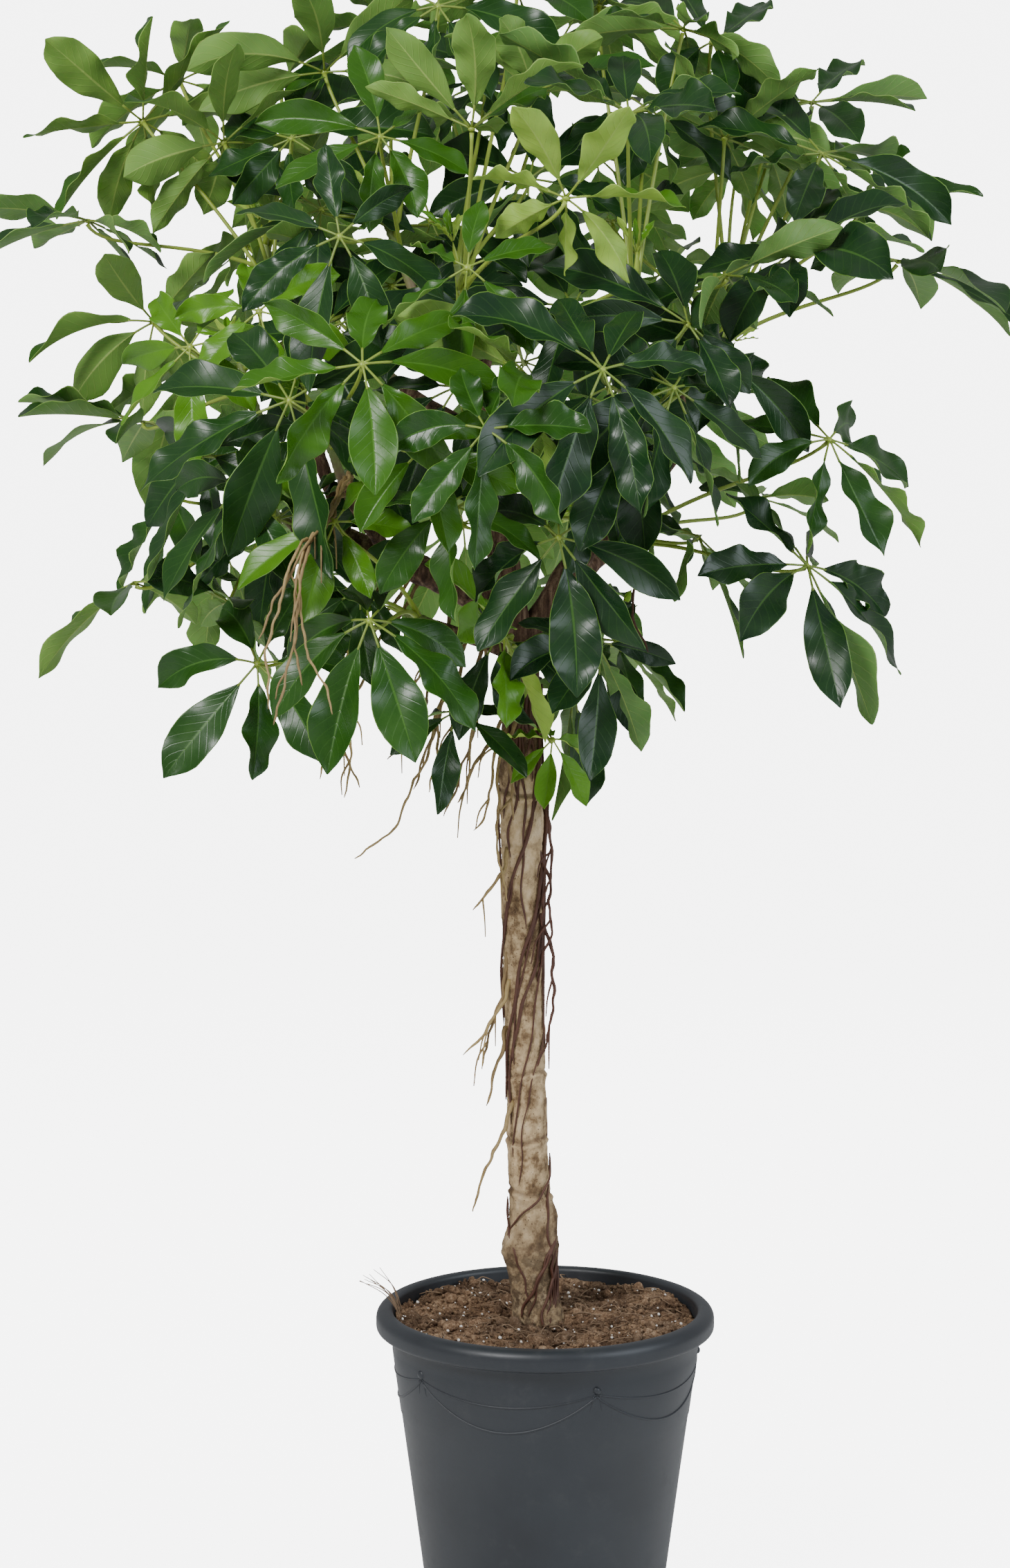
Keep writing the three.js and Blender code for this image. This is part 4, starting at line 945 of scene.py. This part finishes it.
def add_stalk(surface, leaf, bow):
    """A leaf's stalk, swollen at its foot, and the small hub that its leaflets spring from."""
    share = even(18)
    radii = np.interp(share, [0, 0.06, 0.14, 0.93, 1], [3.8, 3.1, 2.3, 1.8, 2.5])
    add_tube(surface, stalk_path(leaf, bow, len(share)), radii, 8, STALK, 0.5 + 0.5 * leaf["tone"])
    points, faces = BALLS[2]
    basis = np.stack([leaf["out"], leaf["side"], leaf["axis"]])
    hub = (points * (HUB_RADIUS, HUB_RADIUS, HUB_HEIGHT)) @ basis + leaf["centre"] - leaf["axis"] * 0.6
    surface.add(hub, [faces], [STALK], (0, 0.5, 0.75))


def build_shoots(materials, leaves):
    for number, (name, (_, base, tip, rows)) in enumerate(SHOOTS.items()):
        surface = Surface()
        path = stem_path(base, tip, 46)
        along = unit(path[-1] - path[-2])
        add_tube(surface, path, stem_radii(len(path), len(rows)), 14, STEM)
        add_bud(surface, path[-1] - along * 4, along, number)
        for made in (m for m in leaves if m["shoot"] == name):
            leaf = made["leaf"]
            add_stalk(surface, leaf, made["bow"])
            for line, own_draw in made["leaflets"]:
                add_leaflet(surface, line, leaf["size"], leaf["tone"], own_draw)
        piece = surface.piece(name + "_foliage", materials)
        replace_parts(piece, name)


# ---- wood and roots


def trunk_at(z):
    table = np.array(TRUNK, float)
    x = np.interp(z, table[:, 1], table[:, 0])
    return x, np.interp(z, table[:, 1], table[:, 2])


TRUNK_SIDES = 88
TRUNK_STEP = 2.0

# Where leaves once stood: the height of each ring, and how strongly it shows
RING_SCARS = [
    (352, 0.4), (398, 0.6), (441, 0.3), (457, 1.6), (515, 1.6), (584, 1.4), (640, 0.3), (705, 0.4),
    (758, 0.5), (826, 0.5), (881, 1.5), (902, 0.3), (948, 0.6), (1000, 0.5),
]

# Swellings of the trunk: the angle round it, the height, how wide each is and how far it stands out
BURLS = [
    (-160, 398, 20, 5), (-150, 362, 16, 3), (5, 432, 18, 7), (-10, 402, 16, 4), (178, 905, 16, 4),
    (-30, 330, 22, 4),
]


def add_trunk(surface):
    heights = np.arange(TRUNK[0][1], TRUNK[-1][1] + 0.1, TRUNK_STEP)
    x, radius = trunk_at(heights)
    kernel = np.ones(9) / 9
    radius = np.convolve(np.pad(radius, 4, mode="edge"), kernel, "valid")
    turns = angles(TRUNK_SIDES)
    grid_z, grid_turn = np.meshgrid(heights, turns, indexing="ij")
    scar = np.zeros_like(grid_z)
    scar_groove = np.zeros_like(grid_z)
    for i, (height, strength) in enumerate(RING_SCARS):
        level = height + 3 * np.sin(grid_turn + i * 1.7) + 1.2 * np.sin(3 * grid_turn + i)
        groove = strength * np.exp(-((grid_z - level - 4.5) / 2.0) ** 2)
        scar += 1.1 * strength * np.exp(-((grid_z - level) / 2.6) ** 2) - 0.9 * groove
        scar_groove = np.maximum(scar_groove, groove)
    spoke = np.stack([np.cos(grid_turn), np.sin(grid_turn), np.zeros_like(grid_z)], -1)
    centre = np.stack([x[:, None] + 0 * grid_z, 0 * grid_z, grid_z], -1)
    skin = centre + spoke * radius[:, None, None]
    bumps = 1.7 * rough(skin * (1, 1, 0.45), 26, 3, 1) + 0.8 * rough(skin, 7, 4, 2)
    for turn, height, size, reach in BURLS:
        off = (grid_turn - radians(turn) + pi) % tau - pi
        bumps = bumps + reach * np.exp(-(off * 22 / size) ** 2 - ((grid_z - height) / size) ** 2)
    flare = 3.0 * np.clip((350 - grid_z) / 60, 0, 1) ** 2 * (0.6 + 0.4 * np.cos(3 * grid_turn + 1))
    rings = centre + spoke * (radius[:, None] + bumps + scar + flare)[..., None]
    add_rings(surface, rings, 0, np.clip(scar_groove, 0, 1))


LIMB_STEP = 5
TWIG_RADIUS = 8


def add_limb(surface, path, start, end, seed, sides=26):
    length = spans(path).sum()
    count = max(8, int(length / LIMB_STEP))
    course = smooth(path, count)
    radii = np.linspace(start, end, count)
    rings = tube_rings(course, radii, sides)
    knots = 0.12 * np.sin(np.linspace(0, length / 9, count) + seed)[:, None]
    swell = 1 + 0.10 * rough(rings, 20, 3, seed) + 0.05 * rough(rings, 6, 2, seed + 9) + 0.3 * knots
    add_rings(surface, course[:, None] + (rings - course[:, None]) * swell[..., None])


def twig_path(wood, base, tip):
    """The twig between a limb and the foot of a shoot, which it meets in the shoot's direction."""
    wood, base, tip = (np.array(p, float) for p in (wood, base, tip))
    along = unit(tip - base)
    middle = (wood + base) / 2 - along * np.linalg.norm(base - wood) * 0.12
    return [wood, middle, base - along * 6, base + along * 2]


def wood_room():
    """The room that the trunk, the limbs, the twigs and the shoots take, a little thicker than they are."""
    room = Room()
    heights = np.linspace(320, 1060, 30)
    x, radius = trunk_at(heights)
    room.add_tube(np.stack([x, 0 * x, heights], -1), radius + 2, 12, "trunk")
    for start, end, path in LIMBS:
        room.add_tube(smooth(path, 12), np.linspace(start, end, 12) + 1, 8, "trunk")
    for name, (wood, base, tip, _) in SHOOTS.items():
        room.add_tube(smooth(twig_path(wood, base, tip), 10), np.linspace(9, 7, 10), 6, name)
        room.add_tube(stem_path(base, tip, 10), np.linspace(7, 5, 10), 6, name)
    return room


def build_wood(bark, root):
    surface = Surface()
    add_trunk(surface)
    for i, (start, end, path) in enumerate(LIMBS):
        add_limb(surface, path, start, end, i + 3)
    for i, (wood, base, tip, _) in enumerate(SHOOTS.values()):
        add_limb(surface, twig_path(wood, base, tip), TWIG_RADIUS, SHOOT_RADIUS + 0.6, i + 20, 16)
    wood = surface.piece("trunk_and_limbs", [bark])
    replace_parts(wood, "trunk")
    strands = Surface()
    for i, one in enumerate(CLINGING):
        add_clinging(strands, one, i)
    for i, path in enumerate(HANGING + FINE):
        add_hanging(strands, path, i)
    roots = strands.piece("aerial_roots", [root])
    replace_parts(roots, "trunk")


def add_clinging(surface, one, seed):
    """A root that runs down the bark."""
    top, bottom, start, end, radius = one
    count = int((top - bottom) / 5) + 8
    share = even(count)
    z = top + (bottom - top) * share
    ease = share * share * (3 - 2 * share)
    draw = Random(seed)
    wander = 6 * np.sin(9 * share + draw.uniform(0, 6)) + 3 * np.sin(23 * share + draw.uniform(0, 6))
    turn = np.radians(start + (end - start) * ease + wander)
    x, trunk_radius = trunk_at(z)
    out = trunk_radius + radius * 0.55 + 0.8 + 0.5 * np.sin(17 * share + seed)
    path = np.stack([x + np.cos(turn) * out, np.sin(turn) * out, z], -1)
    radii = radius * (1 - 0.35 * share) * (1 + 0.12 * np.sin(31 * share + seed))
    radii[-3:] *= (0.8, 0.6, 0.3)
    radii[:2] *= (0.4, 0.8)
    add_tube(surface, path, radii, 8)


def add_hanging(surface, path, seed):
    """A root that hangs free, kinked, with up to two short side roots."""
    draw = Random(100 + seed)
    count = int(spans(path).sum() / 4) + 6
    course = smooth(path, count)
    share = even(count)[:, None]
    kinks = np.stack([rough(course + 50 * k, 44, 3, seed + k) for k in range(3)], -1)
    course = course + kinks * 6 * np.minimum(1, share * 4)
    radii = np.linspace(draw.uniform(2.0, 2.7), 1.1, count) * (1 + 0.12 * np.sin(np.arange(count) * 0.9))
    radii[-3:] *= (0.9, 0.7, 0.4)
    dry = draw.uniform(0.5, 1.0) if path[0][0] < -10 else 0.1
    add_tube(surface, course, radii, 7, 0, dry)
    for _ in range(draw.randint(0, 2)):
        at = draw.randint(count // 3, count - 4)
        away = np.array([draw.uniform(-1, 0.6), draw.uniform(-1, 0.3), draw.uniform(-1.6, -0.6)])
        reach = draw.uniform(18, 55)
        side = smooth([course[at], course[at] + unit(away) * reach * 0.5,
                       course[at] + unit(away + (0, 0, -0.8)) * reach], 9)
        add_tube(surface, side, np.linspace(1.3, 0.6, 9), 6, 0, dry)


# ---- pot and soil


def wall_radius(z):
    return POT_BASE_RADIUS + (POT_NECK_RADIUS - POT_BASE_RADIUS) * z / POT_NECK_HEIGHT


def arc(centre, radius, start, end, count):
    turns = np.radians(np.linspace(start, end, count))
    return [(centre[0] + radius * cos(t), centre[1] + radius * sin(t)) for t in turns]


SWAG_STEP = 72  # degrees between the knobs that the swags hang from
SWAG_PHASE = -71.5  # a knob's angle round from +X
KNOB_HEIGHT = 287
KNOB_RADII = (5.5, 5.5, 4.0)
POT_SIDES = 240


def pot_profile():
    """The pot's section: out along the base, up the wall, over the rolled rim and down inside."""
    steps = [(12, 0.0), (150, -0.25), (222, 0.0), (224.5, 0.7), (262, 0.7), (291, 0.5), (292.5, 0.0)]
    profile = [(POT_BASE_RADIUS - 22, 2.5), (POT_BASE_RADIUS - 18, 0)]
    profile += arc((POT_BASE_RADIUS - 4, 4), 4, -90, 0, 5)
    profile += [(wall_radius(z) + out, z) for z, out in steps]
    neck = POT_NECK_HEIGHT - 1
    profile += arc((wall_radius(neck) + 5, neck - 4), 5, 180, 95, 4)
    profile += [(RIM_RADIUS - 5, neck + 1.5)]
    profile += arc((RIM_RADIUS - 4.5, neck + 6.5), 4.5, -80, 0, 5)
    profile += [(RIM_RADIUS, POT_HEIGHT - 13)]
    profile += arc((RIM_RADIUS - 11, POT_HEIGHT - 11), 11, 0, 90, 8)
    profile += arc((RIM_RADIUS - 13, POT_HEIGHT - 5), 5, 90, 180, 5)
    profile += [(wall_radius(z) - WALL, z) for z in (BED_EDGE, INSIDE_FOOT)]
    return profile + [(40, INSIDE_FOOT - 2)]


def lathe(profile, sides):
    """Rings round the pot's axis through the points of its section."""
    turns = angles(sides)
    radius, height = np.array(profile).T[..., None]
    return np.stack([radius * np.cos(turns), radius * np.sin(turns), height + 0 * turns], -1)


def on_wall(turn, z, out=0.0):
    radius = wall_radius(z) + 0.5 + out
    return np.stack([np.cos(turn) * radius, np.sin(turn) * radius, z + 0 * turn], -1)


def build_pot(plastic):
    surface = Surface()
    add_rings(surface, lathe(pot_profile(), POT_SIDES))
    for k in range(360 // SWAG_STEP):
        start = radians(SWAG_PHASE + SWAG_STEP * k)
        share = even(48)
        turn = start + radians(SWAG_STEP) * share
        for top, sag, thick in ((KNOB_HEIGHT - 4, 14, 0.8), (KNOB_HEIGHT - 6, 40, 1.0)):
            z = top - sag * np.sin(pi * share) ** 0.85
            add_tube(surface, on_wall(turn, z), thick + 0.3 * np.sin(pi * share), 8)
        for side in (-1, 1):
            fold = even(10)
            z = KNOB_HEIGHT - 6 - 16 * fold
            add_tube(surface, on_wall(start + side * 0.02 * (1 + fold), z), 0.9 * (1 - 0.6 * fold), 6)
        add_lump(surface, on_wall(np.array([start]), KNOB_HEIGHT, -1.6)[0], KNOB_RADII, k + 5, 0.05)
    pot = surface.piece("nursery_pot", [plastic])
    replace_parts(pot, "pot")


def soil_height(x, y):
    """The height of the bed's slow hollows and mounds."""
    low = 4.5 * np.sin(x / 31 + 0.8) * np.cos(y / 27 - 0.4) + 3 * np.sin((x + 1.7 * y) / 17)
    return SOIL_LEVEL + CRUMB + low + 0.03 * np.hypot(x, y)


def soil_surface():
    """The bed's rings, from its edge inwards, with clods and hollows."""
    rings, sides = 58, 230
    radius = np.linspace(wall_radius(BED_EDGE) - WALL - 1.5, 3, rings)
    turns = angles(sides)
    x = radius[:, None] * np.cos(turns)
    y = radius[:, None] * np.sin(turns)
    z = soil_height(x, y)
    flat = np.stack([x, y, 0 * x], -1)
    z = z + 4.2 * rough(flat, 20, 4, 3) + 2.2 * rough(flat, 6, 4, 4) - 1.5
    return np.stack([x, y, z], -1)


CLODS, FIBRES, TUFT = 380, 170, 8  # how many there are


def build_soil(peat, perlite, fibre):
    bed, clods, white, fibres = (Surface() for _ in range(4))
    top = soil_surface()
    edge = top[0] * (0.97, 0.97, 0) + (0, 0, BED_FOOT)
    add_rings(bed, np.concatenate([edge[None], top]))
    draw = Random(7)

    def spot(limit):
        """A place on the bed, clear of the trunk."""
        while True:
            x, y = draw.uniform(-limit, limit), draw.uniform(-limit, limit)
            if np.hypot(x, y) < limit and np.hypot(x - TRUNK[1][0], y) > TRUNK[1][2] + 3:
                return np.array([x, y, soil_height(x, y)])

    for i in range(CLODS):
        size = draw.uniform(2.0, 9.5) * draw.uniform(0.5, 1)
        at = spot(154 - size) + (0, 0, draw.uniform(-1.5, 1.5))
        add_lump(clods, at, (size, size * draw.uniform(0.7, 1), size * 0.7), i, 0.5)
    # Crumbs, then white grains: how many, their least and greatest size, how far out and how high
    for surface, count, sizes, limit, lift, seed in (
            (clods, 1500, (0.8, 2.4), 155, (0, 2.5), 400), (white, 170, (0.5, 2.1), 154, (1, 3), 0)):
        for i in range(count):
            size = draw.uniform(*sizes)
            at = spot(limit) + (0, 0, draw.uniform(*lift))
            add_lump(surface, at, (size, size, size * 0.8), i + seed, 0.4, 1)
    for _ in range(FIBRES):
        at = spot(146) + (0, 0, 2.5)
        heading = draw.uniform(0, tau)
        reach = draw.uniform(8, 34)
        step = np.array([cos(heading), sin(heading), 0]) * reach / 3
        side = np.array([-sin(heading), cos(heading), 0]) * reach * 0.15
        path = [at, at + step + side + (0, 0, draw.uniform(0, 4)), at + 2 * step, at + 3 * step + (0, 0, -3)]
        add_tube(fibres, smooth(path, 9), np.linspace(0.75, 0.35, 9) * draw.uniform(0.6, 1.3), 5)
    for _ in range(TUFT):
        turn = radians(draw.uniform(170, 190))
        start = np.array([cos(turn) * 154, sin(turn) * 154, SOIL_LEVEL + 8])
        tip = start + (draw.uniform(-44, -20), draw.uniform(-14, 14), draw.uniform(26, 54))
        path = [start, (start * 2 + tip) / 3 + (0, 0, draw.uniform(8, 14)), tip]
        add_tube(fibres, smooth(path, 12), np.linspace(0.8, 0.35, 12), 5)
    for surface, name, material in (
            (bed, "soil_bed", peat), (clods, "soil_clods", peat),
            (white, "perlite_grains", perlite), (fibres, "soil_fibres", fibre)):
        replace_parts(surface.piece(name, [material]), "soil")


# ---- the scene


def build_plant():
    green = [shoot_material(), stalk_material(), leaf_top_material(), leaf_under_material()]
    build_shoots(green, plan_leaves(wood_room()))
    build_wood(bark_material(), root_material())
    build_pot(pot_material())
    build_soil(soil_material(), perlite_material(), fibre_material())


BACKDROP = 6.0  # the brightness that the camera sees behind the plant
SOFT_LIGHT = 0.42  # the brightness that the same white surroundings light it with
FLOOR_REACH = 14.0


def build_floor():
    g = Graph("pale_floor")
    colour = g.mix(g.noise(g.place(), 3, 2), (0.80, 0.80, 0.80), (0.83, 0.83, 0.83))
    seen = g.node("LightPath", {}).outputs["Is Camera Ray"]
    glow = g.times(seen, BACKDROP - 0.82 * SOFT_LIGHT)
    g.finish(colour, 0.7, Emission_Color=(1, 1, 1), Emission_Strength=glow)
    mesh = bpy.data.meshes.new("studio_floor")
    corners = [(x * FLOOR_REACH, y * FLOOR_REACH, 0) for x, y in ((-1, -1), (1, -1), (1, 1), (-1, 1))]
    mesh.from_pydata(corners, [], [(0, 1, 2, 3)])
    mesh.materials.append(g.material)
    floor = placed("studio_floor", mesh)


def build_world():
    world = bpy.data.worlds.new("studio")
    bpy.context.scene.world = world
    world.use_nodes = True
    nodes = world.node_tree.nodes
    background = nodes["Background"]
    background.inputs["Color"].default_value = (1.0, 1.0, 1.0, 1)
    rays = nodes.new("ShaderNodeLightPath")
    level = nodes.new("ShaderNodeMapRange")
    level.inputs["To Min"].default_value = SOFT_LIGHT
    level.inputs["To Max"].default_value = BACKDROP
    world.node_tree.links.new(rays.outputs["Is Camera Ray"], level.inputs["Value"])
    world.node_tree.links.new(level.outputs["Result"], background.inputs["Strength"])


def add_light(name, at, aim_height, size, power, colour=(1, 1, 1)):
    """A round soft light that shines on the plant's axis at aim_height."""
    light = bpy.data.lights.new(name, "AREA")
    light.shape = "DISK"
    light.size = size
    light.energy = power
    light.color = colour
    lamp = placed(name, light)
    lamp.location = at
    lamp.rotation_euler = (Vector((0, 0, aim_height)) - Vector(at)).to_track_quat("-Z", "Y").to_euler()
    return lamp


def build_studio():
    build_floor()
    build_world()
    add_light("key_light", (-1.7, -2.4, 2.9), 1.2, 1.2, 110)
    add_light("fill_light", (3.0, -1.8, 2.4), 1.1, 2.4, 80, (0.84, 0.92, 1.0))
    add_light("back_light", (0.4, 2.8, 2.8), 1.3, 1.8, 70).visible_glossy = False


# The photograph's viewpoint, in metres, how many degrees it looks down, and its lens in millimetres
CAMERA_AT = (-0.0427, -3.8, 1.365)
CAMERA_PITCH = 7.05
LENS = 84.0


def build_camera():
    data = bpy.data.cameras.new("photo_camera")
    data.lens = LENS
    data.sensor_width = 36
    camera = placed("photo_camera", data)
    camera.location = CAMERA_AT
    camera.rotation_euler = (radians(90 - CAMERA_PITCH), 0, 0)
    bpy.context.scene.camera = camera


build_camera()
build_studio()
build_plant()
